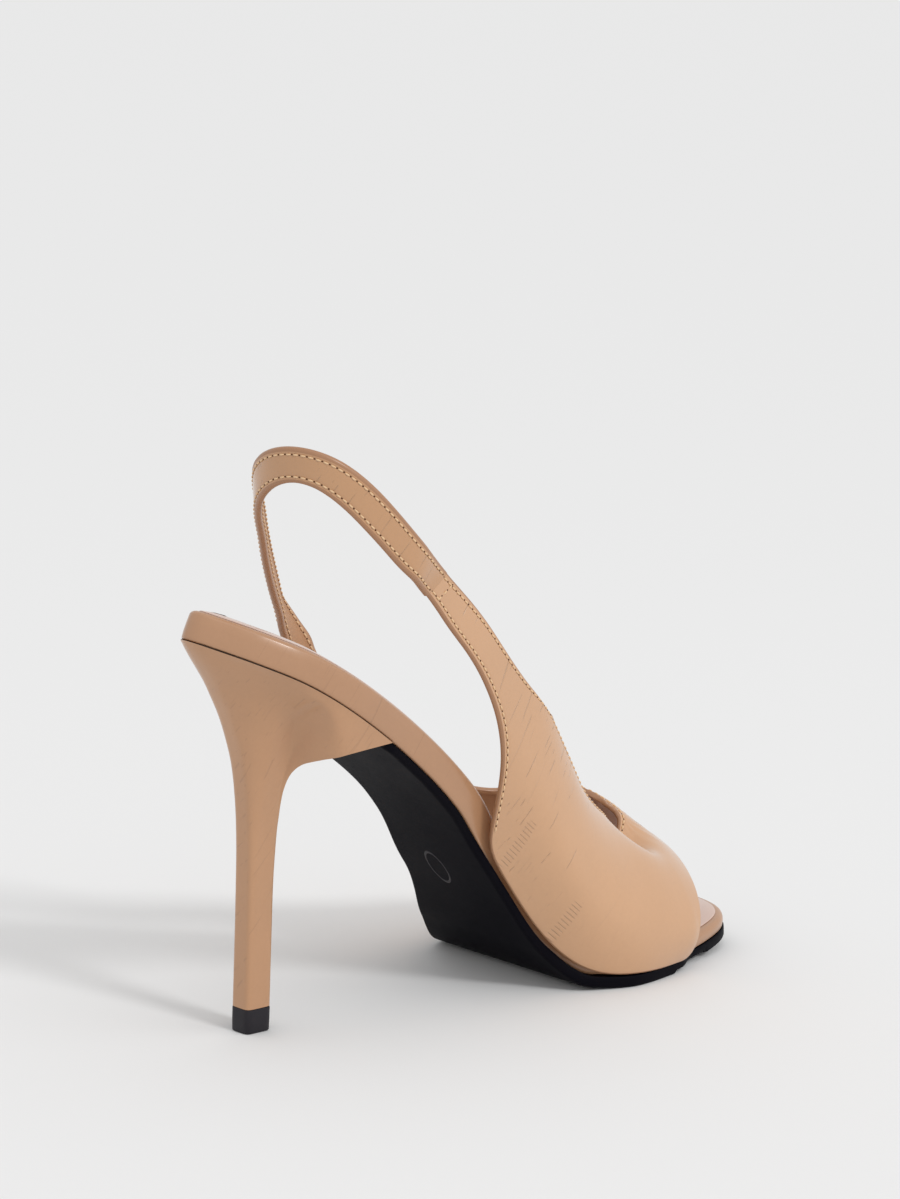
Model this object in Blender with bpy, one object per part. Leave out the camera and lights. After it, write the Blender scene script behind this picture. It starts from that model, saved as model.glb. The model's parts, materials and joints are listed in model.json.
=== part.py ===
"""High-heeled slingback sandal for the right foot, standing empty on its sole.

The toe points to -Y, up is +Z and the wearer's left, the inner side of this foot, is +X.
Sizes below are in millimetres, and each mesh is made in metres.
"""

import math

import bpy
import numpy as np

# Driving sizes
LENGTH = 196.5  # back of the heel seat to the end of the toe, level along the floor
BALL_WIDTH = 70.0  # widest part of the sole
HEEL_RISE = 110.5  # floor to the underside of the footbed, at its back
OUTSOLE = 2.6  # outsole under the waist
TREAD = 0.9  # extra step of the tread pads under the forefoot
JOINT = 0.3  # gap between pieces that meet
BOARD = 8.2  # footbed at the heel seat
SOCK = 1.1  # insole cover on top of the footbed
SOCK_INSET = 2.6  # how far the insole stays inside the footbed's edge
WALL = 1.6  # wall of the upper
STRAP_WIDTH = 9.4
STRAP_THICK = 2.0
SEAM_GAP = 0.5  # between the upper's ends and the sling strap
SEAM_BLEND = 14.0  # length over which the sling turns into line with the upper
INSTEP = 66.0  # top of the upper's last above the joint line, at the waist
STEM_LENGTH = 8.6  # heel stem at the top lift, along the shoe
STEM_WIDTH = 7.0  # heel stem at the top lift, across the shoe
STEM_RUN = 27.0  # centre of the stem's foot from the back of the heel seat
LIFT = 6.8  # height of the top lift
HEEL_WING = 53.0  # how far the heel's wings reach forward from the back
HEEL_BREAST = 33.0  # back of the heel seat to the middle of the breast
THROAT_DIP = 8.0  # how far the vamp dips at the foot of the throat
DIP_REACH = 12.0  # reach of that dip
DIP_RUN = 0.790  # middle of the dip, as a share of LENGTH
DIP_SIDE = -9.0  # and across the shoe
UPPER_ROWS = 96  # cross lines of the upper
UPPER_COLUMNS = 12  # points on each cross line
SLING_ROWS = 80  # points along the sling strap
SLING_COLUMNS = 5  # and across it

# Sole: run is a share of LENGTH, outer and inner are half widths as shares of BALL_WIDTH,
# rise is the height of the joint line as a share of HEEL_RISE and board is a share of BOARD
SOLE = (
    # run, outer, inner, rise, board
    (0.000, 0.000, 0.000, 1.000, 1.00),
    (0.020, 0.112, 0.088, 0.984, 1.00),
    (0.060, 0.232, 0.188, 0.952, 1.00),
    (0.120, 0.328, 0.278, 0.900, 1.00),
    (0.200, 0.366, 0.322, 0.812, 1.00),
    (0.300, 0.352, 0.282, 0.686, 1.00),
    (0.400, 0.345, 0.200, 0.527, 1.00),
    (0.500, 0.294, 0.215, 0.305, 0.98),
    (0.580, 0.316, 0.337, 0.128, 0.90),
    (0.650, 0.412, 0.450, 0.038, 0.74),
    (0.720, 0.468, 0.512, 0.031, 0.60),
    (0.800, 0.438, 0.500, 0.031, 0.52),
    (0.880, 0.385, 0.430, 0.040, 0.48),
    (0.950, 0.315, 0.305, 0.053, 0.46),
    (0.985, 0.215, 0.195, 0.060, 0.46),
    (1.000, 0.000, 0.000, 0.063, 0.46),
)

# Last above the joint line: run is a share of LENGTH, top is the ridge height and
# belly_out, belly_in are the fullest half widths as shares of BALL_WIDTH,
# ridge is where the ridge lies across, and round is the exponent of the section
LAST = (
    # run, top, belly_out, belly_in, ridge, round
    (0.300, 1.620, 0.440, 0.440, 0.00, 2.3),
    (0.410, 1.640, 0.440, 0.430, 0.00, 2.3),
    (0.513, 1.600, 0.445, 0.430, 0.00, 2.3),
    (0.590, 1.200, 0.460, 0.450, 0.01, 2.3),
    (0.638, 0.960, 0.480, 0.480, 0.02, 2.3),
    (0.675, 0.820, 0.500, 0.510, 0.03, 2.2),
    (0.718, 0.720, 0.508, 0.530, 0.03, 2.1),
    (0.755, 0.680, 0.508, 0.535, 0.03, 2.0),
    (0.810, 0.585, 0.500, 0.530, 0.03, 1.9),
    (0.867, 0.436, 0.480, 0.510, 0.03, 1.9),
    (0.910, 0.346, 0.440, 0.480, 0.03, 1.9),
    (0.960, 0.285, 0.370, 0.420, 0.03, 1.9),
)

# Upper from the sling seam to the bottom of the throat, one row for each cross line.
# run is a share of LENGTH and turn goes from 1 at the joint line to 0 on the ridge
OUTER_SIDE = (
    # throat_run, throat_turn, edge_run, edge_turn
    (0.331, 0.702, 0.298, 0.762),
    (0.372, 0.699, 0.322, 0.782),
    (0.411, 0.700, 0.345, 0.792),
    (0.440, 0.699, 0.370, 0.797),
    (0.467, 0.693, 0.394, 0.806),
    (0.495, 0.682, 0.412, 0.818),
    (0.521, 0.663, 0.427, 0.833),
    (0.545, 0.627, 0.438, 0.855),
    (0.570, 0.575, 0.446, 0.887),
    (0.596, 0.520, 0.450, 0.929),
    (0.618, 0.472, 0.453, 0.968),
    (0.639, 0.428, 0.460, 1.000),
    (0.661, 0.390, 0.505, 1.000),
    (0.695, 0.340, 0.555, 1.000),
    (0.726, 0.281, 0.610, 1.000),
    (0.758, 0.220, 0.665, 1.000),
    (0.784, 0.180, 0.722, 1.000),
    (0.799, 0.156, 0.778, 1.000),
)
INNER_SIDE = (
    # throat_run, throat_turn, edge_run, edge_turn
    (0.366, 0.842, 0.334, 0.912),
    (0.402, 0.836, 0.356, 0.910),
    (0.433, 0.826, 0.382, 0.905),
    (0.482, 0.800, 0.428, 0.897),
    (0.524, 0.768, 0.468, 0.894),
    (0.560, 0.718, 0.499, 0.908),
    (0.596, 0.648, 0.506, 0.945),
    (0.631, 0.570, 0.508, 1.000),
    (0.662, 0.496, 0.545, 1.000),
    (0.692, 0.425, 0.590, 1.000),
    (0.722, 0.340, 0.635, 1.000),
    (0.750, 0.250, 0.680, 1.000),
    (0.776, 0.150, 0.725, 1.000),
    (0.795, 0.050, 0.772, 1.000),
    (0.803, -0.050, 0.815, 1.000),
)

# Toe opening, from the outer side over the top to the inner side.
# run is a share of LENGTH, turn goes from -1 at the outer joint line to 1 at the inner one
TOE_OPENING = (
    # run, turn
    (0.829, -1.00),
    (0.834, -0.88),
    (0.846, -0.72),
    (0.856, -0.55),
    (0.868, -0.35),
    (0.886, -0.12),
    (0.899, 0.12),
    (0.897, 0.38),
    (0.880, 0.62),
    (0.862, 0.83),
    (0.850, 1.00),
)

# Middle line of the sling strap between its seams: run, rise as above, side is a share of BALL_WIDTH
# with the inner side positive, lean is the outward tilt of its top edge in degrees
SLING = (
    # run, side, rise, lean
    (0.276, -0.443, 1.165, 4.0),
    (0.220, -0.429, 1.264, 4.0),
    (0.168, -0.371, 1.363, 4.0),
    (0.137, -0.300, 1.408, 5.0),
    (0.121, -0.221, 1.418, 6.0),
    (0.114, -0.129, 1.404, 9.0),
    (0.124, -0.029, 1.362, 13.0),
    (0.150, 0.057, 1.300, 17.0),
    (0.181, 0.129, 1.238, 19.0),
    (0.217, 0.214, 1.160, 20.0),
    (0.254, 0.293, 1.082, 20.0),
    (0.291, 0.364, 1.003, 18.0),
    (0.322, 0.412, 0.941, 15.0),
)

# Heel: height is a share of the way from the lift to the seat. back, front and wing say how
# far the section has flared from the stem to the seat there: backwards, forwards and, at
# the wings, sideways
HEEL = (
    # height, back, front, wing
    (0.000, 0.000, 0.000, 0.000),
    (0.200, 0.000, 0.000, 0.000),
    (0.400, 0.008, 0.000, 0.000),
    (0.500, 0.030, 0.000, 0.008),
    (0.580, 0.070, 0.004, 0.020),
    (0.660, 0.140, 0.010, 0.035),
    (0.730, 0.250, 0.020, 0.060),
    (0.790, 0.370, 0.020, 0.100),
    (0.840, 0.500, 0.032, 0.150),
    (0.880, 0.610, 0.050, 0.220),
    (0.920, 0.745, 0.090, 0.370),
    (0.950, 0.850, 0.160, 0.640),
    (0.975, 0.930, 0.300, 0.900),
    (1.000, 1.000, 1.000, 1.000),
)

# Tread pads: a row for each end of the two pads, as shares of LENGTH
TREAD_PADS = (
    # start, end
    (0.575, 0.800),
    (0.900, 0.968),
)

# Colours for the plain views
TAN = (0.62, 0.41, 0.24, 1.0)
BLACK = (0.012, 0.012, 0.016, 1.0)


def curve(xs, ys):
    """A smooth curve through the rows that never overshoots them."""
    xs = np.asarray(xs, float)
    ys = np.asarray(ys, float)
    steps = np.diff(xs)
    slopes = np.diff(ys) / steps
    tangents = np.zeros(len(xs))
    tangents[0] = slopes[0]
    tangents[-1] = slopes[-1]
    for i in range(1, len(xs) - 1):
        if slopes[i - 1] * slopes[i] > 0:
            before = 2 * steps[i] + steps[i - 1]
            after = steps[i] + 2 * steps[i - 1]
            tangents[i] = (before + after) / (before / slopes[i - 1] + after / slopes[i])

    def value(x):
        x = np.clip(np.asarray(x, float), xs[0], xs[-1])
        i = np.clip(np.searchsorted(xs, x) - 1, 0, len(xs) - 2)
        t = (x - xs[i]) / steps[i]
        start = (1 + 2 * t) * (1 - t) ** 2 * ys[i]
        end = t * t * (3 - 2 * t) * ys[i + 1]
        bend = t * (1 - t) ** 2 * tangents[i] - t * t * (1 - t) * tangents[i + 1]
        return start + end + bend * steps[i]

    return value


def spread(run):
    """Runs along the sole as an angle, so that its two ends come out round."""
    return np.arccos(1 - 2 * np.clip(run, 0, 1)) / math.pi


SOLE_ROWS = np.array(SOLE)
LAST_ROWS = np.array(LAST)
HALF_OUTER = curve(spread(SOLE_ROWS[:, 0]), SOLE_ROWS[:, 1] * BALL_WIDTH)
HALF_INNER = curve(spread(SOLE_ROWS[:, 0]), SOLE_ROWS[:, 2] * BALL_WIDTH)
RISE = curve(SOLE_ROWS[:, 0] * LENGTH, SOLE_ROWS[:, 3] * HEEL_RISE)
BOARD_AT = curve(SOLE_ROWS[:, 0] * LENGTH, SOLE_ROWS[:, 4] * BOARD)


def half_outer(s):
    """Half width of the sole on the outer side at s from the back."""
    return HALF_OUTER(spread(np.asarray(s, float) / LENGTH))


def half_inner(s):
    """Half width of the sole on the inner side at s from the back."""
    return HALF_INNER(spread(np.asarray(s, float) / LENGTH))


def tilt(s):
    """The unit vector square to the joint line at s, as its run and rise parts."""
    slope = (RISE(np.asarray(s, float) + 0.5) - RISE(np.asarray(s, float) - 0.5)) / 1.0
    size = np.sqrt(1 + slope**2)
    return -slope / size, 1 / size


def on_bed(s, side, height):
    """Points at s along the sole and side across it, height square to the joint line."""
    s = np.asarray(s, float)
    run_part, rise_part = tilt(s)
    side = np.broadcast_to(side, s.shape)
    return np.stack([s + height * run_part, side, RISE(s) + height * rise_part], axis=-1)


def to_world(points):
    """From run, side and rise in millimetres to the world in metres."""
    points = np.asarray(points, float)
    return np.stack([points[..., 1], LENGTH / 2 - points[..., 0], points[..., 2]], axis=-1) / 1000


def finish(name, shades):
    """A plain material of its own for one node."""
    material = bpy.data.materials.new(name)
    material.use_nodes = True
    shader = material.node_tree.nodes["Principled BSDF"]
    shader.inputs["Base Color"].default_value = shades[0]
    shader.inputs["Roughness"].default_value = shades[1]
    material.diffuse_color = shades[0]
    return material


def add_node(name, points, faces, shades):
    """Makes one named solid from its points and its faces, which look outwards."""
    mesh = bpy.data.meshes.new(name)
    mesh.from_pydata([tuple(p) for p in to_world(points)], [], [tuple(f) for f in faces])
    mesh.validate()
    mesh.update()
    mesh.materials.append(finish(name, shades))
    node = bpy.data.objects.new(name, mesh)
    bpy.context.scene.collection.objects.link(node)
    return node


def outline(stations, inset):
    """Both edges of the sole in plan, moved inwards by inset, as arrays of run and side."""
    outer = np.stack([stations, -half_outer(stations)], axis=1)
    inner = np.stack([stations, half_inner(stations)], axis=1)
    loop = np.concatenate([outer, inner[-2:0:-1]])
    ahead = np.roll(loop, -1, axis=0) - loop
    ahead /= np.linalg.norm(ahead, axis=1)[:, None] + 1e-9
    along = ahead + np.roll(ahead, 1, axis=0)
    along /= np.linalg.norm(along, axis=1)[:, None] + 1e-9
    inwards = np.stack([-along[:, 1], along[:, 0]], axis=1)
    inset = np.broadcast_to(inset, (len(stations),))
    both = np.concatenate([inset, inset[-2:0:-1]])
    return loop + inwards * both[:, None]


def stations(count, start=0.0, end=1.0):
    """Runs along the sole, closer together towards both ends."""
    turn = np.linspace(0, 1, count)
    return LENGTH * (start + (end - start) * (1 - np.cos(turn * math.pi)) / 2)


def loft(rings):
    """Faces that join rings of the same number of points, with both ends ruled across."""
    count = len(rings[0])
    half = count // 2
    faces = []
    for r in range(len(rings) - 1):
        low, high = r * count, (r + 1) * count
        for i in range(count):
            j = (i + 1) % count
            faces.append((low + i, low + j, high + j, high + i))
    for r, turned in ((0, True), (len(rings) - 1, False)):
        base = r * count
        for i in range(half):
            a, b = i, i + 1
            c, d = (count - b) % count, (count - a) % count
            face = [base + v for v in dict.fromkeys((a, b, c, d))]
            faces.append(tuple(face[::-1]) if turned else tuple(face))
    return np.concatenate(rings), faces


def slab(runs, layers):
    """A layer of the sole: each row of layers is its inset and its height over the joint line."""
    rings = []
    for inset, height in layers:
        plan = outline(runs, inset)
        level = np.broadcast_to(height, (len(runs),))
        both = np.concatenate([level, level[-2:0:-1]])
        rings.append(on_bed(plan[:, 0], plan[:, 1], both))
    points, faces = loft(rings)
    return points, faces


def pad_step(s):
    """How much of the tread step there is at s, from 0 to 1."""
    ball, toe = TREAD_PADS
    rows = (
        (0, 0),
        (ball[0] * LENGTH - 6, 0),
        (ball[0] * LENGTH + 12, 1),
        (ball[1] * LENGTH, 1),
        (ball[1] * LENGTH + 1.2, 0),
        (toe[0] * LENGTH - 1.2, 0),
        (toe[0] * LENGTH, 1),
        (toe[1] * LENGTH, 1),
        (toe[1] * LENGTH + 1.2, 0),
        (LENGTH, 0),
    )
    return np.interp(s, [row[0] for row in rows], [row[1] for row in rows])


def wing_opening(s):
    """Share of the sole's half width that the heel's breast leaves open at s."""
    share = np.clip((np.asarray(s, float) - HEEL_BREAST) / (HEEL_WING - HEEL_BREAST), 0, 1)
    return np.sqrt(1 - (1 - share) ** 2)


def wrap_share(s):
    """Where the upper wraps the footbed, from 0 to 1."""
    shares = np.array((0, 0.427, 0.494, 0.814, 0.855, 1))
    return curve(shares * LENGTH, (0, 0, 1, 1, 0, 0))(s)


def build_footbed():
    """The covered footbed, just inside the upper's lining."""
    runs = stations(46)
    thick = BOARD_AT(runs)
    edge = 0.6 + 0 * thick
    layers = (
        (edge + 0.5, 0 * thick),
        (edge, 0.5 + 0 * thick),
        (edge, thick * 0.72),
        (edge + 0.35, thick * 0.9),
        (edge + 1.3, thick),
    )
    points, faces = slab(runs, layers)
    return add_node("footbed", points, faces, (TAN, 0.4))


def build_insole():
    """The thin cover that lies on the footbed."""
    runs = stations(46)
    thick = BOARD_AT(runs) + JOINT
    inset = SOCK_INSET + 0 * thick
    layers = (
        (inset, thick),
        (inset, thick + SOCK * 0.7),
        (inset + 0.5, thick + SOCK),
    )
    points, faces = slab(runs, layers)
    return add_node("insole", points, faces, (TAN, 0.45))


def build_outsole():
    """The outsole, from inside the heel's wings to the toe, with its two tread pads."""
    ball, toe = TREAD_PADS
    start = HEEL_BREAST + 2.0
    wings = start + (HEEL_WING + 1.5 - start) * (1 - np.cos(np.linspace(0, 1, 8) * math.pi / 2))
    waist = np.linspace(HEEL_WING + 4, 0.55 * LENGTH, 8)
    tread = np.linspace(0.58 * LENGTH, 0.79 * LENGTH, 10)
    steps = [run * LENGTH for run in (ball[1], toe[0], toe[1])]
    steps += [steps[0] + 1.2, steps[1] - 1.2, steps[2] + 1.2]
    tip = LENGTH * (0.84 + 0.16 * np.sin(np.linspace(0, 1, 12) * math.pi / 2))
    runs = np.unique(np.round(np.concatenate([wings, waist, tread, steps, tip]), 3))
    runs = runs[np.append(np.diff(runs) > 0.25, True)]
    inset = 1.3 - (1.1 + WALL) * wrap_share(runs) - 0.9 * np.interp(runs / LENGTH, (0.81, 0.88), (0, 1))
    inset = np.clip(inset, 0.2 - WALL, 1.3)
    open_share = wing_opening(runs - 2.0)
    outer = np.minimum(half_outer(runs) - inset, open_share * (half_outer(runs) - 1.1) - 0.8)
    inner = np.minimum(half_inner(runs) - inset, open_share * (half_inner(runs) - 1.1) - 0.8)
    past = runs > HEEL_WING + 1.4
    outer = np.where(past, half_outer(runs) - inset, outer)
    inner = np.where(past, half_inner(runs) - inset, inner)
    outer = np.clip(outer, 0.0, None)
    inner = np.clip(inner, 0.0, None)
    outer[-1] = inner[-1] = 0.0
    bottom = OUTSOLE + TREAD * pad_step(runs)
    rings = []
    for narrow, height in (
        (1.0, -bottom),
        (0.2, -bottom + 0.6),
        (0.0, 0 * runs - OUTSOLE * 0.45),
        (0.0, 0 * runs - JOINT),
    ):
        left = np.stack([runs, -np.clip(outer - narrow, 0.05, None)], axis=1)
        right = np.stack([runs, np.clip(inner - narrow, 0.05, None)], axis=1)
        left[0, 1] = left[-1, 1] = 0.0
        left[-1, 0] -= narrow
        plan = np.concatenate([left, right[-2:0:-1]])
        level = np.concatenate([height, height[-2:0:-1]])
        ring = on_bed(plan[:, 0], plan[:, 1], level)
        ring[:, 2] = np.maximum(ring[:, 2], 0.0)
        rings.append(ring)
    points, faces = loft(rings)
    return add_node("outsole", points, faces, (BLACK, 0.6))


def stem_outline(turns, grow=0.0):
    """The stem's section, a square with soft corners, for turns from the back round."""
    soft = 2 / 5.0
    run = np.sign(np.cos(turns)) * np.abs(np.cos(turns)) ** soft
    side = np.sign(np.sin(turns)) * np.abs(np.sin(turns)) ** soft
    half_run = STEM_LENGTH / 2 + grow
    half_side = STEM_WIDTH / 2 + grow
    return STEM_RUN + run * half_run, -side * half_side


def build_heel():
    """The covered heel, from its slim stem up to the wings under the footbed."""
    back = np.linspace(0, 1, 13)
    side_runs = HEEL_BREAST * (1 - np.cos(back * math.pi / 2))
    wing_runs = HEEL_BREAST + (HEEL_WING - HEEL_BREAST) * np.sin(np.linspace(0, 1, 7)[1:] * math.pi / 2)
    runs = np.concatenate([side_runs, wing_runs])
    count = len(runs)
    at_breast = len(side_runs) - 1
    plan = outline(stations(80), 0.6)
    half = len(plan) // 2
    outer_side = curve(plan[: half + 1, 0], -plan[: half + 1, 1])
    inner_loop = np.concatenate([plan[:1], plan[half:][::-1]])
    inner_side = curve(inner_loop[:, 0], inner_loop[:, 1])
    reach = np.maximum(runs, plan[0, 0])
    outer_half = outer_side(reach)
    inner_half = inner_side(reach)
    outer_half[0] = inner_half[0] = 0.0
    breast_runs = runs[at_breast:][::-1]
    share = wing_opening(breast_runs)
    outer_breast = share * (half_outer(breast_runs) - 1.1) - 0.25 * share
    inner_breast = share * (half_inner(breast_runs) - 1.1) - 0.25 * share
    run = np.concatenate([reach, breast_runs, breast_runs[:-1][::-1], reach[1:][::-1]])
    side = np.concatenate([-outer_half, -outer_breast, inner_breast[:-1][::-1], inner_half[1:][::-1]])
    top = on_bed(run, side, -JOINT)
    around_side = math.pi - np.linspace(0, 1, count) ** 0.8 * (math.pi * 0.75)
    around_breast = math.pi * 0.25 * (1 - np.linspace(0, 1, len(breast_runs)))
    half_turn = np.concatenate([around_side, around_breast])
    turns = np.concatenate([half_turn, -half_turn[1:-1][::-1]])
    foot_run, foot_side = stem_outline(turns)
    foot = np.stack([foot_run, foot_side, np.full(len(turns), LIFT + JOINT)], axis=1)
    forward = np.clip(run / HEEL_WING, 0, 1)
    forward = forward * forward * (3 - 2 * forward)
    forward[count : count + 2 * len(breast_runs) - 1] = 1.0
    rows = np.array(HEEL)
    back_curve = curve(rows[:, 0], rows[:, 1])
    front_curve = curve(rows[:, 0], rows[:, 2])
    wing_curve = curve(rows[:, 0], rows[:, 3])
    rings = []
    for height in rows[:, 0]:
        flare = (1 - forward) * back_curve(height) + forward * front_curve(height)
        widen = (1 - forward) * back_curve(height) + forward * wing_curve(height)
        ring = foot + (top - foot) * np.stack([flare, widen, np.full(len(flare), height)], axis=1)
        rings.append(ring)
    total = len(top)
    points = np.concatenate(rings)
    faces = []
    for r in range(len(rings) - 1):
        low, high = r * total, (r + 1) * total
        for i in range(total):
            j = (i + 1) % total
            faces.append((low + i, low + j, high + j, high + i))
    for i in range(total // 2):
        face = dict.fromkeys((i, i + 1, (total - i - 1) % total, (total - i) % total))
        faces.append(tuple(face)[::-1])
    base = (len(rings) - 1) * total
    for i in range(at_breast):
        face = dict.fromkeys((i, i + 1, (total - i - 1) % total, (total - i) % total))
        faces.append(tuple(base + v for v in face))
    last = total // 2
    for i in range(at_breast, count - 1):
        partner = count + (count - 1 - i)
        faces.append((base + i, base + i + 1, base + partner - 1, base + partner))
        mirror = [(total - v) % total for v in (i, i + 1, partner - 1, partner)]
        faces.append(tuple(base + v for v in mirror[::-1]))
    middle = base + last
    faces.append((base + at_breast, middle, base + (total - at_breast) % total))
    return add_node("heel", points, faces, (TAN, 0.35))


def build_top_lift():
    """The black lift under the stem, with its rest face on the floor."""
    turns = math.pi - np.linspace(0, 2 * math.pi, 33)[:-1]
    rings = []
    for grow, height in ((-0.35, 0.0), (0.0, 0.4), (0.1, LIFT * 0.6), (0.1, LIFT)):
        run, side = stem_outline(turns, grow)
        rings.append(np.stack([run, side, np.full(len(run), height)], axis=1))
    points, faces = loft(rings)
    return add_node("top_lift", points, faces, (BLACK, 0.5))


LAST_TOP = curve(LAST_ROWS[:, 0] * LENGTH, LAST_ROWS[:, 1] * INSTEP)
BELLY_OUT = curve(LAST_ROWS[:, 0] * LENGTH, LAST_ROWS[:, 2] * BALL_WIDTH)
BELLY_IN = curve(LAST_ROWS[:, 0] * LENGTH, LAST_ROWS[:, 3] * BALL_WIDTH)
RIDGE = curve(LAST_ROWS[:, 0] * LENGTH, LAST_ROWS[:, 4] * BALL_WIDTH)
ROUND = curve(LAST_ROWS[:, 0] * LENGTH, LAST_ROWS[:, 5])


def on_last(s, turn):
    """Points on the last's skin. turn is -1 at the outer joint line, 0 on the ridge, 1 inside."""
    climb = (1 - np.clip(np.abs(turn), 0, 1)) * math.pi / 2
    power = 2 / ROUND(s)
    up = np.sin(climb) ** power
    across = np.clip(np.cos(climb), 0, 1) ** power
    outer = turn < 0
    base = np.where(outer, half_outer(s), half_inner(s))
    belly = np.where(outer, BELLY_OUT(s), BELLY_IN(s))
    swell = np.sin(np.clip(up / 0.32, 0, 1) * math.pi / 2)
    half = base + np.maximum(belly - base, 0) * swell
    side = np.where(outer, -half, half) * across + RIDGE(s) * (1 - across)
    rise = RISE(s) + LAST_TOP(s) * up
    near = ((s - DIP_RUN * LENGTH) / DIP_REACH) ** 2 + ((side - DIP_SIDE) / DIP_REACH) ** 2
    rise = rise - THROAT_DIP * np.exp(-near)
    return np.stack([s, side, rise], axis=-1)


def thicken(grid, wall):
    """A closed shell from a grid of points on its outer skin, wall thick on the inner side."""
    ahead = np.gradient(grid, axis=0)
    beside = np.gradient(grid, axis=1)
    normal = np.cross(ahead, beside)
    normal /= np.linalg.norm(normal, axis=2)[..., None] + 1e-12
    inner = grid - normal * wall
    rows, columns = grid.shape[:2]
    points = np.concatenate([grid.reshape(-1, 3), inner.reshape(-1, 3)])
    offset = rows * columns
    faces = []
    for i in range(rows - 1):
        for j in range(columns - 1):
            a, b = i * columns + j, i * columns + j + 1
            c, d = a + columns, b + columns
            faces.append((a, c, d, b))
            faces.append((offset + a, offset + b, offset + d, offset + c))
    for i in range(rows - 1):
        a, c = i * columns, (i + 1) * columns
        faces.append((a, offset + a, offset + c, c))
        a, c = a + columns - 1, c + columns - 1
        faces.append((a, c, offset + c, offset + a))
    for j in range(columns - 1):
        a, b = j, j + 1
        faces.append((a, b, offset + b, offset + a))
        a, b = a + (rows - 1) * columns, b + (rows - 1) * columns
        faces.append((a, offset + a, offset + b, b))
    return points, faces


def cross_lines():
    """Both ends of every cross line of the upper, from the outer seam round to the inner one."""
    outer = np.array(OUTER_SIDE)
    inner = np.array(INNER_SIDE)[::-1]
    toe = np.array(TOE_OPENING)
    fill = np.linspace(0, 1, len(toe) + 2)[1:-1]
    throat_toe = np.stack(
        [
            outer[-1, 0] + (inner[0, 0] - outer[-1, 0]) * fill + 0.012 * np.sin(fill * math.pi),
            -outer[-1, 1] + (inner[0, 1] + outer[-1, 1]) * fill,
        ],
        axis=1,
    )
    throat = np.concatenate([outer[:, :2] * (1, -1), throat_toe, inner[:, :2]])
    edge = np.concatenate([outer[:, 2:] * (1, -1), toe, inner[:, 2:]])
    rows = np.arange(len(throat), dtype=float)
    fine = np.linspace(0, len(throat) - 1, UPPER_ROWS)
    ends = [curve(rows, column)(fine) for column in (throat[:, 0], throat[:, 1], edge[:, 0], edge[:, 1])]
    return ends


def upper_grid():
    """Points on the upper's outer skin, a row for each cross line."""
    throat_run, throat_turn, edge_run, edge_turn = cross_lines()
    share = np.linspace(0, 1, UPPER_COLUMNS)[None, :]
    run = (throat_run[:, None] * (1 - share) + edge_run[:, None] * share) * LENGTH
    turn = throat_turn[:, None] * (1 - share) + edge_turn[:, None] * share
    return on_last(run, turn)


def build_upper():
    """The upper: one hollow shell, open at throat, toe, heel and underneath."""
    points, faces = thicken(upper_grid(), WALL)
    points[:, 2] = np.maximum(points[:, 2], RISE(points[:, 0]) + JOINT)
    return add_node("upper", points, faces, (TAN, 0.3))


def seam_row(first, second, columns):
    """The sling's end row, a gap away from the upper's end row, and the way it sets off."""
    ahead = (first - second).mean(axis=0)
    ahead /= np.linalg.norm(ahead)
    share = np.linspace(0, 1, columns)
    known = np.linspace(0, 1, len(first))
    row = np.stack([np.interp(share, known, first[::-1, axis]) for axis in range(3)], axis=1)
    return row + ahead * SEAM_GAP, ahead


def sling_grid(columns):
    """Points across the sling strap's outer skin, from the outer seam to the inner one."""
    upper = upper_grid()
    start, start_ahead = seam_row(upper[0], upper[1], columns)
    stop, stop_ahead = seam_row(upper[-1], upper[-2], columns)
    table = np.array(SLING)
    first, last = start.mean(axis=0), stop.mean(axis=0)
    ends = ([first, first + start_ahead * 3], [last + stop_ahead * 3, last])
    middles = np.concatenate([ends[0], table[:, :3] * (LENGTH, BALL_WIDTH, HEEL_RISE), ends[1]])
    leans = np.concatenate([table[[0, 0], 3], table[:, 3], table[[-1, -1], 3]])
    walk = np.append(0, np.cumsum(np.linalg.norm(np.diff(middles, axis=0), axis=1)))
    fine = np.linspace(0, walk[-1], SLING_ROWS)
    middle = np.stack([curve(walk, middles[:, axis])(fine) for axis in range(3)], axis=1)
    lean = np.radians(curve(walk, leans)(fine))
    along = np.gradient(middle, axis=0)
    along /= np.linalg.norm(along, axis=1)[:, None]
    outwards = np.cross((0.0, 0.0, 1.0), along)
    outwards /= np.linalg.norm(outwards, axis=1)[:, None]
    upwards = np.cross(along, outwards)
    across = upwards * np.cos(lean)[:, None] + outwards * np.sin(lean)[:, None]
    share = np.linspace(-0.5, 0.5, columns)[None, :, None]
    offsets = across[:, None] * share * STRAP_WIDTH
    for row, away in ((start - first, fine), (stop - last, walk[-1] - fine)):
        near = np.clip(1 - (away - 3) / SEAM_BLEND, 0, 1)
        near = (near * near * (3 - 2 * near))[:, None, None]
        offsets = offsets * (1 - near) + row[None] * near
    return middle[:, None] + offsets


def build_sling():
    """The sling strap, from the outer seam round the back to the inner seam."""
    points, faces = thicken(sling_grid(SLING_COLUMNS), STRAP_THICK)
    return add_node("sling_strap", points, faces, (TAN, 0.3))


def centre(nodes):
    """Puts the middle of the whole outline over the origin, with the sole at floor level."""
    corners = np.array([node.matrix_world @ vertex.co for node in nodes for vertex in node.data.vertices])
    low, high = corners.min(axis=0), corners.max(axis=0)
    shift = -(low + high) / 2
    for node in nodes:
        for vertex in node.data.vertices:
            vertex.co.x += shift[0]
            vertex.co.y += shift[1]
    print("shift in mm:", round(shift[0] * 1000, 3), round(shift[1] * 1000, 3))


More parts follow.
